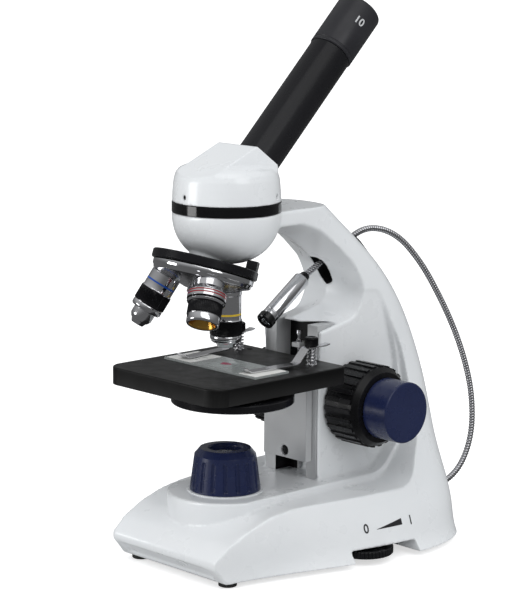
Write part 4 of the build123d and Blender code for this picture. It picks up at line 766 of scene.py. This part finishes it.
# ---------------------------------------------------------------- stand
@dataclass
class Stand:
    """The casting, its covers and feet, and the mark over the dimmer wheel."""

    shop: Workshop
    cell: float = 0.85
    strokes: int = 6
    thin: float = 0.42
    mark_y: float = 71.0
    mark_z: float = 20.4
    mark_size: float = 7.2
    wedge_length: float = 19.0
    wedge_height: float = 3.4
    mark_reach: float = 16.5
    mark_search: float = 120.0
    wedge_drop: float = 1.2
    wedge_point: float = 0.04
    print_rise: float = 0.08
    slot_width: float = 10.0
    slot_length: float = 21.0
    slot_inset: float = 0.8
    slot_way: tuple[float, float] = (0.930446, 0.36643)
    slot_middle: tuple[float, float] = (88.95, 166.1)
    slot_search: float = 45.0
    slot_start: float = -12.0
    slot_land: float = 0.7
    lining_gap: float = 0.06
    lining_thick: float = 0.5
    lining_end: float = 9.0

    def build(self) -> None:
        """Make the skin and the mark, and dress the rest."""
        skin = self.shop.rubbed_down("stand_casting", "casting_skin", self.cell, self.strokes, WHITE_COAT, self.thin)
        self.shop.hand_over(skin, Body.STAND, Slot.CASTING, ["stand_casting"])
        self.mark(skin)
        self.slot_lining(skin)
        self.shop.dress({
            BLACK_MOULDING: ["bottom_cover", "battery_door", "battery_holder", "dimmer_potentiometer",
                             "arm_slot_liner"],
            GRIP_BLACK: ["dimmer_wheel"],
            CELL_SLEEVE: ["battery_cells"],
            SHEET_CHROME: ["battery_contacts"],
            CIRCUIT_GREEN: ["control_board"],
            RUBBER: ["rubber_feet"],
            MACHINED_STEEL: ["bottom_cover_screws"]})

    def slot_lining(self, skin: bpy.types.Object) -> None:
        """Black sleeve in the slot that the gooseneck comes through, just below the arm's inner face.

        Args:
            skin: the casting's skin, which says where the face is.
        """
        out, step_back = Vector((0, *self.slot_way)), self.slot_search * MM
        wide, long = Vector((1, 0, 0)), Vector((0, out.z, -out.y))
        middle = DATUM.at(0, *self.slot_middle)
        rims: list[list[Vector]] = [[], [], [], []]
        half, straight, count = self.slot_width / 2, (self.slot_length - self.slot_width) / 2, 48
        for step in range(count):
            angle = 2 * pi * step / count
            shift = straight if cos(angle) > 0 else -straight
            rim_line = [(wide * (sin(angle) * size) + long * (cos(angle) * size + shift)) * MM
                        for size in (half - self.lining_gap, half - self.lining_thick, half + self.slot_land)]
            hit, place, _, _ = skin.ray_cast(middle + rim_line.pop() - out * step_back, out)
            start = (place - middle).dot(out) + self.slot_inset * MM if hit else self.slot_start * MM
            for number, line in enumerate(rim_line):
                rims[number].append(middle + line + out * start)
                rims[3 - number].append(middle + line + out * self.lining_end * MM)
        points = [point for rim in rims for point in rim]
        faces = [face for ring in range(4) for face in band(ring, (ring + 1) % 4, count)]
        made = self.shop.piece("slot_lining", points, faces, [BLACK_MOULDING])
        self.shop.hand_over(made, Body.STAND, Slot.BLACK_PLASTIC)

    def mark(self, skin: bpy.types.Object) -> None:
        """Print 0, a rising wedge and I on the side, over the dimmer wheel.

        Args:
            skin: the casting's skin, which the print lies on.
        """
        points: list[Vector] = []
        faces: list[tuple[int, ...]] = []

        def lay(flat: Sequence[Vector], shapes: Sequence[tuple[int, ...]], along: float) -> None:
            """Add one sign of the mark.

            Args:
                flat: its points.
                shapes: its faces.
                along: how far to the right of the middle it goes, in metres.
            """
            start = len(points)
            points.extend(Vector((p.x + along, p.y, 0)) for p in flat)
            faces.extend(tuple(start + n for n in shape) for shape in shapes)

        for text, along in (("0", -self.mark_reach * MM), ("I", self.mark_reach * MM)):
            lay(*self.shop.lettering(text, self.mark_size * MM), along)
        half, steps = self.wedge_length / 2 * MM, 12
        low = [Vector((half * (2 * n / steps - 1), -self.wedge_drop * MM, 0)) for n in range(steps + 1)]
        high = [Vector((p.x, p.y + self.wedge_height * MM * (self.wedge_point + n / steps), 0))
                for n, p in enumerate(low)]
        lay(low + high, [(n, n + 1, steps + 2 + n, steps + 1 + n) for n in range(steps)], 0.0)
        placed = []
        for point in points:
            start = DATUM.at(self.mark_search, self.mark_y, self.mark_z) + Vector((0, point.x, point.y))
            hit, place, normal, _ = skin.ray_cast(start, Vector((-1, 0, 0)))
            placed.append(place + normal * (self.print_rise * MM) if hit else start)
        made = self.shop.piece("dimmer_mark", placed, faces, [DARK_MARK], smooth=False)
        self.shop.hand_over(made, Body.STAND, Slot.BLACK_PLASTIC)


@dataclass
class Illuminator:
    """Base light: white rim, ribbed navy collar and its lens."""

    shop: Workshop

    def build(self) -> None:
        """Dress the light's parts."""
        self.shop.dress({
            WHITE_PLASTIC: ["illuminator_rim", "illuminator_led"],
            NAVY_MOULDING: ["illuminator_collar"],
            LAMP_LENS: ["illuminator_lens"]})


# ---------------------------------------------------------------- gooseneck lamp
@dataclass
class Gooseneck:
    """Wound steel hose that carries the upper lamp, from the base, round the back and through the arm."""

    shop: Workshop
    radius: float = 1.9
    pitch: float = 1.75
    groove: float = 0.42
    around: int = 14
    per_turn: int = 7
    route: tuple[tuple[float, float], ...] = (
        (153.0, 11.0), (181.0, 11.0), (202.0, 19.5), (212.5, 40.0), (211.5, 66.0), (203.5, 90.0),
        (192.0, 112.5), (177.5, 134.5), (160.5, 156.5), (139.0, 175.5), (114.0, 182.5), (94.5, 175.0), (80.1, 167.7))
    pivot: tuple[float, float] = (78.0, 166.4)
    lamp_pivot: tuple[float, float] = (61.99, 158.11)

    def centre_line(self) -> list[Vector]:
        """Points along the smooth line of the hose, in the shared frame."""
        curve = bpy.data.curves.new("hose_route", "CURVE")
        curve.dimensions = "3D"
        curve.resolution_u = 24
        spline = curve.splines.new("NURBS")
        places = [DATUM.at(0, y, z) for y, z in (*self.route, self.pivot, self.lamp_pivot)]
        spline.points.add(len(places) - 1)
        for point, place in zip(spline.points, places):
            point.co = (*place, 1)
        spline.order_u = 3
        spline.use_endpoint_u = True
        return [vertex.co.copy() for vertex in self.shop.settled(put_in_scene("hose_route", curve)).vertices]

    def build(self) -> None:
        """Wind the hose along its line."""
        line = self.centre_line()
        step = self.pitch * MM / self.per_turn
        walked, points, marks = 0.0, [], 0
        side = Vector((1, 0, 0))
        for here, after in zip(line, line[1:]):
            reach = (after - here).length
            while marks * step <= walked + reach and reach > 0:
                share = (marks * step - walked) / reach
                points.append((here.lerp(after, share), (after - here).normalized()))
                marks += 1
            walked += reach
        rings: list[Vector] = []
        for number, (place, along) in enumerate(points):
            out = along.cross(side).normalized()
            phase = 2 * pi * (number % self.per_turn) / self.per_turn
            for turn in range(self.around):
                angle = 2 * pi * turn / self.around
                lead = 0.5 - 0.5 * cos(phase - angle)
                radius = (self.radius - self.groove * lead ** 3) * MM
                rings.append(place + (side * cos(angle) + out * sin(angle)) * radius)
        count = self.around
        faces = [face for ring in range(len(points) - 1) for face in band(ring, ring + 1, count)]
        faces.append(tuple(reversed(range(count))))
        faces.append(tuple((len(points) - 1) * count + t for t in range(count)))
        hose = self.shop.piece("gooseneck_hose", rings, faces, [HOSE_STEEL], crease=60)
        DATUM.at(0, 84, 169.8)
        DATUM.at(0, 72, 163.2)
        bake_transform(hose)
        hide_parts("gooseneck_rear", "gooseneck_neck")
        LOG.info("piece %s bends between the stand and the lamp's neck", hose.name)
        self.shop.dress({SATIN_BLACK: ["gooseneck_gland"]})


@dataclass
class Lamp:
    """Upper lamp: chrome sleeve, black boot behind it, dark bezel and lens in front."""

    shop: Workshop
    tip: tuple[float, float] = (29.6, 134.9)
    tilt: float = 35.6
    bezel_length: float = 4.6
    sleeve_length: float = 33.0
    sleeve_radius: float = 4.8

    def build(self) -> None:
        """Turn the sleeve and its boot, and dress the rest."""
        along = Vector((0, cos(radians(self.tilt)), sin(radians(self.tilt))))
        axle = Axle(DATUM.at(0, *self.tip), along)
        start, end, out = self.bezel_length, self.bezel_length + self.sleeve_length, self.sleeve_radius
        sleeve = self.shop.lathe("lamp_sleeve", [
            *run(CHROME, (out - 0.9, start), (out, start)),
            *run(SATIN_CHROME, (out, start + 2.4), (out - 0.25, start + 2.5)),
            *run(CHROME, (out - 0.25, start + 3.1), (out, start + 3.2), (out, end - 1.0)),
            *run(SATIN_BLACK, (out - 0.9, end), (2.4, end), (2.4, start + 12), (out - 0.9, start + 12))],
            axle, closed=True)
        self.shop.hand_over(sleeve, Body.LAMP, Slot.CHROME, ["lamp_housing"])
        boot = self.shop.lathe("lamp_boot", [
            *run(SATIN_BLACK, (0.0, end - 0.1), (3.3, end - 0.1), (3.3, end + 1.2), (2.9, end + 1.4),
                 (2.9, end + 2.6), (2.3, end + 3.4), (0.0, end + 3.4))], axle, around=48)
        self.shop.hand_over(boot, Body.LAMP, Slot.BLACK_METAL)
        self.shop.dress({GLOSS_BLACK: ["lamp_bezel"], LENS_GLASS: ["lamp_lens"]})


# ---------------------------------------------------------------- focus
@dataclass
class FocusDrive:
    """Guide channel, carriage, rack and the two pairs of knobs."""

    shop: Workshop
    slot_half: float = 12.72
    slot_front: float = 52.3
    slot_back: float = 63.42
    rack_half: float = 6.0
    low: float = 42.1
    wrapped: float = 70.0
    rack_top: float = 112.4
    high: float = 132.4
    sheet: float = 0.07

    def build(self) -> None:
        """Line the channel with a black sheet, partly its black paint and partly painted shade deep in the slot, and
        dress the drive's parts.
        """
        side, front, back, gap = self.slot_half, self.slot_front, self.slot_back, self.rack_half
        # This black sheet is partly the channel's black paint and partly painted shade inside the slot.
        lining = self.shop.folded_sheet("channel_paint_and_shade_lining", [
            ([(-side, front), (-side, back), (-gap, back)], self.low, self.wrapped),
            ([(gap, back), (side, back), (side, front)], self.low, self.wrapped),
            ([(-side, back), (-gap, back)], self.wrapped, self.rack_top),
            ([(gap, back), (side, back)], self.wrapped, self.rack_top),
            ([(-side, back), (side, back)], self.rack_top, self.high)],
            self.sheet, BLACK_MOULDING)
        self.shop.hand_over(lining, Body.STAND, Slot.BLACK_METAL)
        self.shop.dress({
            GREY_ANODISED: ["guide_channel", "stage_carriage"],
            CHROME: ["travel_stop_screw"],
            MACHINED_STEEL: ["focus_rack", "pinion_shaft", "fine_shaft"],
            BRONZE: ["shaft_bushes"],
            GRIP_BLACK: ["coarse_knob_right", "coarse_knob_left", "carriage_screws"],
            NAVY_MOULDING: ["fine_knob_right", "fine_knob_left"]})


# ---------------------------------------------------------------- stage
@dataclass
class Stage:
    """Square stage with its condenser, disc and clips."""

    shop: Workshop
    clip_x: float = 30.0
    clip_y: float = 38.0
    top: float = 113.5
    knob_bottom: float = 124.4

    def build(self) -> None:
        """Knurl the clip heads and dress the rest."""
        for name, x in (("right", self.clip_x), ("left", -self.clip_x)):
            axle = Axle(DATUM.at(x, self.clip_y, 0), Vector((0, 0, 1)))
            low = self.knob_bottom
            head = self.shop.lathe(f"clip_head_{name}", [
                *run(MACHINED_STEEL, (0.0, self.top - 8), (1.6, self.top - 8), (1.6, self.top)),
                *run(CHROME, (3.3, self.top), (3.3, self.top + 0.7), (1.6, self.top + 0.7)),
                *run(SATIN_BLACK, (1.6, low), (3.5, low), (3.9, low + 0.5), ridges=30, depth=0.3),
                *run(SATIN_BLACK, (3.9, low + 4.6), (3.3, low + 5.2), (2.2, low + 5.25), (2.0, low + 4.9),
                     (0.0, low + 4.9))], axle, chamfer=0.12)
            self.shop.hand_over(head, Body.STAGE, Slot.BLACK_KNURL, [f"clip_post_{name}"])
        self.shop.dress({
            STAGE_BLACK: ["stage_plate"],
            SATIN_BLACK: ["condenser_mount", "diaphragm_disc"],
            LENS_GLASS: ["condenser_lens"],
            MACHINED_STEEL: ["diaphragm_pivot"],
            SHEET_CHROME: ["clip_leaf_right", "clip_leaf_left", "clip_spring_right", "clip_spring_left"]})


@dataclass
class SpecimenSlide:
    """Glass slide with its paper label, its stained section and a few ruled lines."""

    shop: Workshop
    top: float = 114.6
    length: float = 76.0
    width: float = 26.0
    label: float = 21.0

    def build(self) -> None:
        """Lay the label, its lines and the specimen on the glass."""
        left = -self.length / 2
        self.patch("slide_label", LABEL_PAPER, left + 1.0 + self.label / 2, 0, self.label, self.width - 2.0, 0.05)
        for number, (x, y, size) in enumerate((
                (left + 7.5, 6.5, 9.0), (left + 12.5, 3.0, 15.0), (left + 11.0, -0.5, 12.0),
                (left + 12.0, -4.0, 14.0))):
            self.patch(f"slide_rule_{number}", LABEL_INK, x, y, size, 0.55, 0.06)
        self.patch("slide_end_label", LABEL_PAPER, -left - 1.0 - 7.0, 0, 14.0, self.width - 2.0, 0.05)
        specimen = self.blot("slide_specimen", 3.4, 2.4)
        self.shop.hand_over(specimen, Body.SLIDE, Slot.GLASS)
        self.shop.dress({SLIDE_GLASS: ["specimen_slide"]})

    def patch(self, name: str, finish: Finish, x: float, y: float, long: float, wide: float, rise: float) -> None:
        """A thin printed or stuck patch with rounded corners.

        Args:
            name: the piece's name.
            finish: its finish.
            x: its middle.
            y: its middle.
            long: its size along X.
            wide: its size along Y.
            rise: how far its top stands over the glass.
        """
        corner, rim = min(0.8, wide * 0.3), []
        for cx, cy, start in ((1, 1, 0), (-1, 1, 90), (-1, -1, 180), (1, -1, 270)):
            for turn in range(0, 91, 15):
                angle = radians(start + turn)
                rim.append((x + cx * (long / 2 - corner) + corner * cos(angle),
                            y + cy * (wide / 2 - corner) + corner * sin(angle)))
        count = len(rim)
        points = [DATUM.at(px, py, height) for height in (self.top + rise, self.top) for px, py in rim]
        faces: list[tuple[int, ...]] = [tuple(range(count))]
        faces += [(n, n + count, (n + 1) % count + count, (n + 1) % count) for n in range(count)]
        made = self.shop.piece(name, points, faces, [finish], crease=30)
        self.shop.hand_over(made, Body.SLIDE, Slot.GLASS)

    def blot(self, name: str, long: float, wide: float) -> bpy.types.Object:
        """The stained section: a flat blot with a wandering rim, just over the glass.

        Args:
            name: the piece's name.
            long: about half its size along X.
            wide: about half its size along Y.

        Returns:
            The new object.
        """
        count, height = 64, self.top + 0.19
        rim = []
        for step in range(count):
            angle = 2 * pi * step / count
            sway = 1 + 0.16 * sin(3 * angle + 0.6) + 0.08 * sin(7 * angle + 1.9)
            rim.append(DATUM.at(long * sway * cos(angle), wide * sway * sin(angle), height))
        return self.shop.piece(name, [DATUM.at(0, 0, height + 0.02)] + rim,
                               [(0, n + 1, (n + 1) % count + 1) for n in range(count)], [TISSUE])


# ---------------------------------------------------------------- nosepiece
@dataclass
class Nosepiece:
    """Fixed plate, turning turret and three objectives."""

    shop: Workshop
    tilt: float = 18.5
    apex: float = 220.8
    seat: float = 156.7
    plate: float = 52.9
    bore: float = 3.6
    turret_radius: float = 28.6
    low_turn: float = -120.0
    thread: float = 7.0
    middle_tip: float = 124.6
    low_reach: float = 89.0
    high_reach: float = 96.0

    @property
    def along(self) -> Vector:
        """Direction of the turret's axis, upwards."""
        return Vector((0, sin(radians(self.tilt)), cos(radians(self.tilt))))

    def working(self, turn: float) -> Matrix:
        """Matrix that turns a piece from the working place round the turret.

        Args:
            turn: angle in degrees.

        Returns:
            The turn about the turret's axis.
        """
        centre = DATUM.at(0, 0, self.apex)
        swing = Matrix.Rotation(radians(turn), 4, self.along)
        return Matrix.Translation(centre) @ swing @ Matrix.Translation(-centre)

    def objective(self, name: str, outline: Outline, tip: float, turn: float, body: Body = Body.NOSEPIECE,
                  replaces: Sequence[str] = ()) -> None:
        """Turn an objective in the working place and swing it to its own.

        Args:
            name: the piece's name.
            outline: its outline, heights above its tip.
            tip: height of its tip in the working place.
            turn: its place round the turret, in degrees.
            body: the body that carries it.
            replaces: nodes that it stands for.
        """
        made = self.shop.lathe(name, outline, Axle(DATUM.at(0, 0, tip), Vector((0, 0, 1))), around=112)
        made.data.transform(self.working(turn))
        self.shop.hand_over(made, body, Slot.CHROME, replaces)

    def build(self) -> None:
        """Turn the turret and the objectives, and dress the rest."""
        turret = Axle(DATUM.at(0, 0, self.apex), -self.along)
        top, rim = self.plate + 0.3, self.turret_radius
        slope = tan(radians(self.tilt))
        outline = [
            *run(SATIN_CHROME, (self.bore, top), (rim - 0.4, top)),
            *run(CHROME, (rim, top + 0.3), (rim, top + 2.9), (rim - 0.6, top + 3.2), (rim - 1.0, top + 5.0)),
            *run(SATIN_CHROME, (rim - 2.0, top + 4.8 + 2.0 * slope), (8.2, top + 4.8 + (rim - 8.2) * slope),
                 (self.bore, top + 4.8 + (rim - 8.0) * slope))]
        body = self.shop.lathe("turret_shell", outline, turret, around=160, closed=True)
        self.shop.hand_over(body, Body.NOSEPIECE, Slot.CHROME, ["nosepiece_turret"])
        self.middle_power()
        self.low_power()
        self.high_power()
        self.shop.dress({SATIN_BLACK: ["nosepiece_plate"], CHROME: ["nosepiece_pivot"]})

    def seated(self, up: float, *points: tuple[float, float]) -> list[Turning]:
        """The thread in the turret, and the chrome points that go on from it.

        Args:
            up: height of the seat over the objective's tip.
            points: radius and height of each chrome point.

        Returns:
            The points, in order.
        """
        top = up + 3.9
        return [*run(SATIN_CHROME, (0.0, top), (self.thread, top)), *run(CHROME, (self.thread, up), *points)]

    def middle_power(self) -> None:
        """The objective in use: long chrome barrel, yellow ring, black grip, stepped chrome nose."""
        tip, up = self.middle_tip, self.seat - self.middle_tip
        self.objective("objective_in_use", [
            *self.seated(up, (8.9, up), (8.9, up - 2.2), (8.6, up - 2.5)),
            *run(YELLOW_RING, (8.6, 19.4)), *run(CHROME, (8.6, 18.3), (8.6, 15.9)),
            *run(SATIN_BLACK, (9.2, 15.4), ridges=72, depth=0.35), *run(SATIN_BLACK, (9.2, 7.3)),
            *run(CHROME, (8.7, 6.9), (9.0, 6.5), (9.0, 4.9), (8.3, 4.4), (8.3, 3.5)),
            *run(SATIN_CHROME, (6.9, 2.5)), *run(CHROME, (5.6, 2.3)), *run(SATIN_BLACK, (4.8, 0.1), (2.9, 0.0)),
            *run(LENS_GLASS, (2.6, 0.8), (0.0, 0.6))], tip, 0.0, replaces=["objective_middle"])

    def low_power(self) -> None:
        """The short wide one: two red rings, black waist, flared chrome tip with a gold bore."""
        tip = self.apex - self.low_reach
        up = self.seat - tip
        self.objective("objective_low_power", [
            *self.seated(up, (8.6, up), (8.6, 21.3), (10.3, 19.0), (10.8, 18.4)),
            *run(RED_RING, (10.8, 17.8)), *run(CHROME, (10.8, 17.1)), *run(RED_RING, (10.8, 16.3)),
            *run(CHROME, (10.8, 15.6)), *run(SATIN_BLACK, (10.8, 14.2), (10.2, 14.0)),
            *run(CHROME, (10.2, 13.3), (10.7, 13.1)),
            *run(SATIN_BLACK, (9.7, 11.9), (9.5, 11.6), ridges=60, depth=0.3), *run(SATIN_BLACK, (9.5, 5.3)),
            *run(CHROME, (8.9, 4.9), (9.1, 4.5), (9.1, 1.0), (8.5, 0.1), (7.9, 0.0)),
            *run(GOLD_LINING, (7.3, 0.3), (6.9, 1.6), (5.2, 5.4)),
            *run(LENS_GLASS, (5.0, 5.8), (0.0, 5.2))], tip, self.low_turn,
            replaces=["objective_low"])

    def high_power(self) -> None:
        """The long one, with a nose that springs back when it touches the slide."""
        tip = self.apex - self.high_reach
        up = self.seat - tip
        self.objective("objective_high_power", [
            *self.seated(up, (8.6, up)), *run(BLUE_RING, (8.6, 26.4)),
            *run(CHROME, (8.6, 25.4), (8.6, 21.9)), *run(SATIN_BLACK, (9.2, 21.3), ridges=72, depth=0.35),
            *run(SATIN_BLACK, (9.2, 13.0)), *run(CHROME, (8.6, 12.5), (8.9, 12.1), (8.9, 10.0), (8.2, 9.0)),
            *run(SATIN_BLACK, (6.5, 9.0), (6.5, 17.0), (0.0, 17.0))], tip, -self.low_turn,
            replaces=["objective_high"])
        self.objective("objective_spring_nose", [
            *run(SATIN_CHROME, (0.0, 14.8), (6.4, 14.8)), *run(CHROME, (6.4, 8.0), (6.4, 4.6)),
            *run(SATIN_CHROME, (5.2, 2.6)), *run(CHROME, (4.6, 2.3)), *run(SATIN_BLACK, (3.5, 0.1), (2.0, 0.0)),
            *run(LENS_GLASS, (1.7, 0.5), (0.0, 0.4))], tip, -self.low_turn, Body.HIGH_NOSE, ["objective_high_nose"])


# ---------------------------------------------------------------- head
@dataclass
class Head:
    """White prism housing, gloss black ring, satin tube and eyepiece."""

    shop: Workshop
    seat: tuple[float, float] = (20.85, 226.15)
    tilt: float = 45.0
    tube: float = 84.05
    cap: float = 34.0
    cap_radius: float = 13.3
    cap_edge: float = 0.3
    barrel_radius: float = 11.6
    barrel_length: float = 21.9
    inner_radius: float = 9.6
    bore: float = 8.5
    cell: float = 0.5
    strokes: int = 6
    mark_size: float = 6.6
    mark_place: float = 21.0
    mark_rise: float = 0.04

    def build(self) -> None:
        """Rub the housing's facets soft, turn the eyepiece and dress the rest."""
        housing = self.shop.rubbed_down("prism_housing", "housing_skin", self.cell, self.strokes, WHITE_COAT)
        self.shop.hand_over(housing, Body.HEAD, Slot.CASTING, ["prism_housing"])
        along = Vector((0, sin(radians(self.tilt)), cos(radians(self.tilt))))
        axle = Axle(DATUM.at(0, *self.seat), along, Vector((1, -0.6, 0)))
        out, inner, low = self.cap_radius, self.inner_radius, self.tube - self.barrel_length
        start, end = self.tube, self.tube + self.cap
        shell = self.shop.lathe("eyepiece_shell", [
            *run(SATIN_CHROME, (inner, low), (self.barrel_radius, low)),
            *run(CAP_BLACK_AND_SHEEN, (self.barrel_radius, start), (out - 0.5, start), (out, start + 0.5), (out, start + 1.6),
                 (out - 0.35, start + 1.8), (out - 0.35, start + 2.4), (out, start + 2.6), (out, end - 1.4),
                 (out - 0.4, end - 0.4), (out - 1.3, end), (out - 2.2, end - 0.2), (self.bore, end - 2.0),
                 (self.bore, end - 7.0), (inner, end - 8.0))], axle, around=128,
            closed=True, chamfer=self.cap_edge)
        self.shop.hand_over(shell, Body.EYEPIECE, Slot.BLACK_METAL, ["eyepiece_body"])
        self.power_mark(axle)
        self.shop.dress({
            GLOSS_BLACK: ["head_ring"],
            SATIN_BLACK: ["body_tube"],
            GRIP_BLACK: ["head_set_screws"],
            LENS_GLASS: ["prism", "eyepiece_lenses"]})

    def power_mark(self, axle: Axle) -> None:
        """Wrap the eyepiece's power round its cap.

        Args:
            axle: the tube's axle.
        """
        points, faces = self.shop.lettering("10", self.mark_size * MM)
        out = (self.cap_radius + self.mark_rise) * MM
        high = (self.tube + self.mark_place) * MM
        wrapped = [Vector((out * cos(p.x / out), out * sin(p.x / out), high + p.y)) for p in points]
        made = self.shop.piece("eyepiece_power", wrapped, faces, [PALE_MARK], axle.frame(), smooth=False)
        self.shop.hand_over(made, Body.EYEPIECE, Slot.BLACK_METAL)


# ---------------------------------------------------------------- studio
def facing(way: Vector) -> Euler:
    """Turn of a lamp that shines the way given."""
    return way.to_track_quat("-Z", "Y").to_euler()


@dataclass
class Studio:
    """Pale floor, soft lights and the camera."""

    aim: tuple[float, float, float] = (0, 0, 0.15)
    table: float = 6.0
    table_drop: float = -0.0002
    boards: int = 12
    camera_place: tuple[float, float, float] = (921.05, -852.27, 376.96)
    camera_ahead: tuple[float, float, float] = (-0.71401, 0.67740, -0.17699)
    camera_roll: float = 0.428
    lens: float = 136.5
    sensor: float = 36.0
    near: float = 0.05
    far: float = 30.0
    sun: float = 0.55
    sun_spread: float = 50.0
    sun_way: tuple[float, float, float] = (-0.62, 0.30, -1.0)
    horizon: float = 0.13
    zenith: float = 0.50
    fade: tuple[float, float] = (-0.05, 0.9)
    bounce: float = 1.9

    def build(self) -> None:
        """Set up the floor, the lights and the camera."""
        self.floor()
        self.world()
        self.light("key", (1.10, -0.25, 0.70), 0.55, 2.3, (0.98, 0.99, 1.0))
        self.light("fill", (-0.55, -1.05, 0.24), 0.45, 3.5, (1.0, 1.0, 1.0))
        self.daylight()
        self.camera()

    def floor(self) -> None:
        """Wide pale table."""
        across = [self.table * (2 * step / self.boards - 1) for step in range(self.boards + 1)]
        points = [Vector((x, y, self.table_drop)) for y in across for x in across]
        row = self.boards + 1
        faces = [(j * row + i, j * row + i + 1, (j + 1) * row + i + 1, (j + 1) * row + i)
                 for j in range(self.boards) for i in range(self.boards)]
        paper = LitPaper("backdrop_paper", (0.75, 0.75, 0.75), (0.72, 0.72, 0.72), 0.8, 0.05, relief=0.00001,
                         patch=0.4, shine=0.1)
        table = Workshop().piece("floor", points, faces, [paper], smooth=False)
        table.visible_glossy = False

    def world(self) -> None:
        """Pale surroundings behind the microscope, lit from above and darker round the horizon."""
        world = bpy.data.worlds.new("studio")
        world.use_nodes = True
        nodes, links = world.node_tree.nodes, world.node_tree.links
        ground = nodes["Background"].inputs
        ground["Color"].default_value = (0.98, 0.99, 1.0, 1)
        parts = nodes.new("ShaderNodeSeparateXYZ")
        links.new(nodes.new("ShaderNodeTexCoord").outputs["Generated"], parts.inputs[0])
        sky = nodes.new("ShaderNodeMapRange")
        sky.interpolation_type = "SMOOTHSTEP"
        for name, value in zip(("From Min", "From Max", "To Min", "To Max"), (*self.fade, self.horizon, self.zenith)):
            sky.inputs[name].default_value = value
        links.new(parts.outputs["Z"], sky.inputs["Value"])
        seen = nodes.new("ShaderNodeMix")
        paths = nodes.new("ShaderNodeLightPath")
        links.new(paths.outputs["Is Camera Ray"], seen.inputs[0])
        matt = nodes.new("ShaderNodeMapRange")
        matt.inputs["To Min"].default_value, matt.inputs["To Max"].default_value = 1.0, self.bounce
        links.new(paths.outputs["Is Diffuse Ray"], matt.inputs["Value"])
        dim = nodes.new("ShaderNodeMath")
        dim.operation = "MULTIPLY"
        links.new(sky.outputs[0], dim.inputs[0])
        links.new(matt.outputs[0], dim.inputs[1])
        links.new(dim.outputs[0], seen.inputs[2])
        seen.inputs[3].default_value = 1.0
        links.new(seen.outputs[0], ground["Strength"])
        bpy.context.scene.world = world
        bpy.context.scene.view_settings.view_transform = "Standard"

    def daylight(self) -> None:
        """Even soft light from high on the right, which also keeps the table pale to its edge."""
        lamp = bpy.data.lights.new("daylight", "SUN")
        lamp.energy, lamp.angle = self.sun, radians(self.sun_spread)
        put_in_scene("daylight", lamp).rotation_euler = facing(Vector(self.sun_way))

    def light(self, name: str, place: tuple[float, float, float], size: float, power: float, colour: Colour) -> None:
        """A square soft light that faces the microscope.

        Args:
            name: its name.
            place: where it stands, in metres.
            size: its side.
            power: its power.
            colour: its colour.
        """
        lamp = bpy.data.lights.new(name, "AREA")
        lamp.shape, lamp.size, lamp.energy, lamp.color = "SQUARE", size, power, colour
        holder = put_in_scene(name, lamp)
        holder.location = place
        holder.rotation_euler = facing(Vector(self.aim) - Vector(place))

    def camera(self) -> None:
        """A long lens about 1.3 m from the microscope."""
        lens = bpy.data.cameras.new("camera")
        lens.lens = self.lens
        lens.sensor_width = self.sensor
        lens.clip_start, lens.clip_end = self.near, self.far
        holder = put_in_scene("camera", lens)
        ahead = Vector(self.camera_ahead).normalized()
        right = ahead.cross(Vector((0, 0, 1))).normalized()
        up = right.cross(ahead)
        turn = radians(self.camera_roll)
        right, up = right * cos(turn) + up * sin(turn), up * cos(turn) - right * sin(turn)
        matrix = Matrix((right, up, -ahead)).transposed().to_4x4()
        matrix.translation = DATUM.at(*self.camera_place)
        holder.matrix_world = matrix
        bpy.context.scene.camera = holder


def main() -> None:
    """Build and dress every sub-assembly in order."""
    logging.basicConfig(level=logging.INFO, format="%(name)s: %(message)s")
    shop = Workshop()
    Studio().build()
    for part in (Stand(shop), Illuminator(shop), Gooseneck(shop), Lamp(shop), FocusDrive(shop), Stage(shop),
                 SpecimenSlide(shop), Nosepiece(shop), Head(shop)):
        LOG.info("building %s", type(part).__name__)
        part.build()
    bpy.context.view_layer.update()


if __name__ == "__main__":
    main()
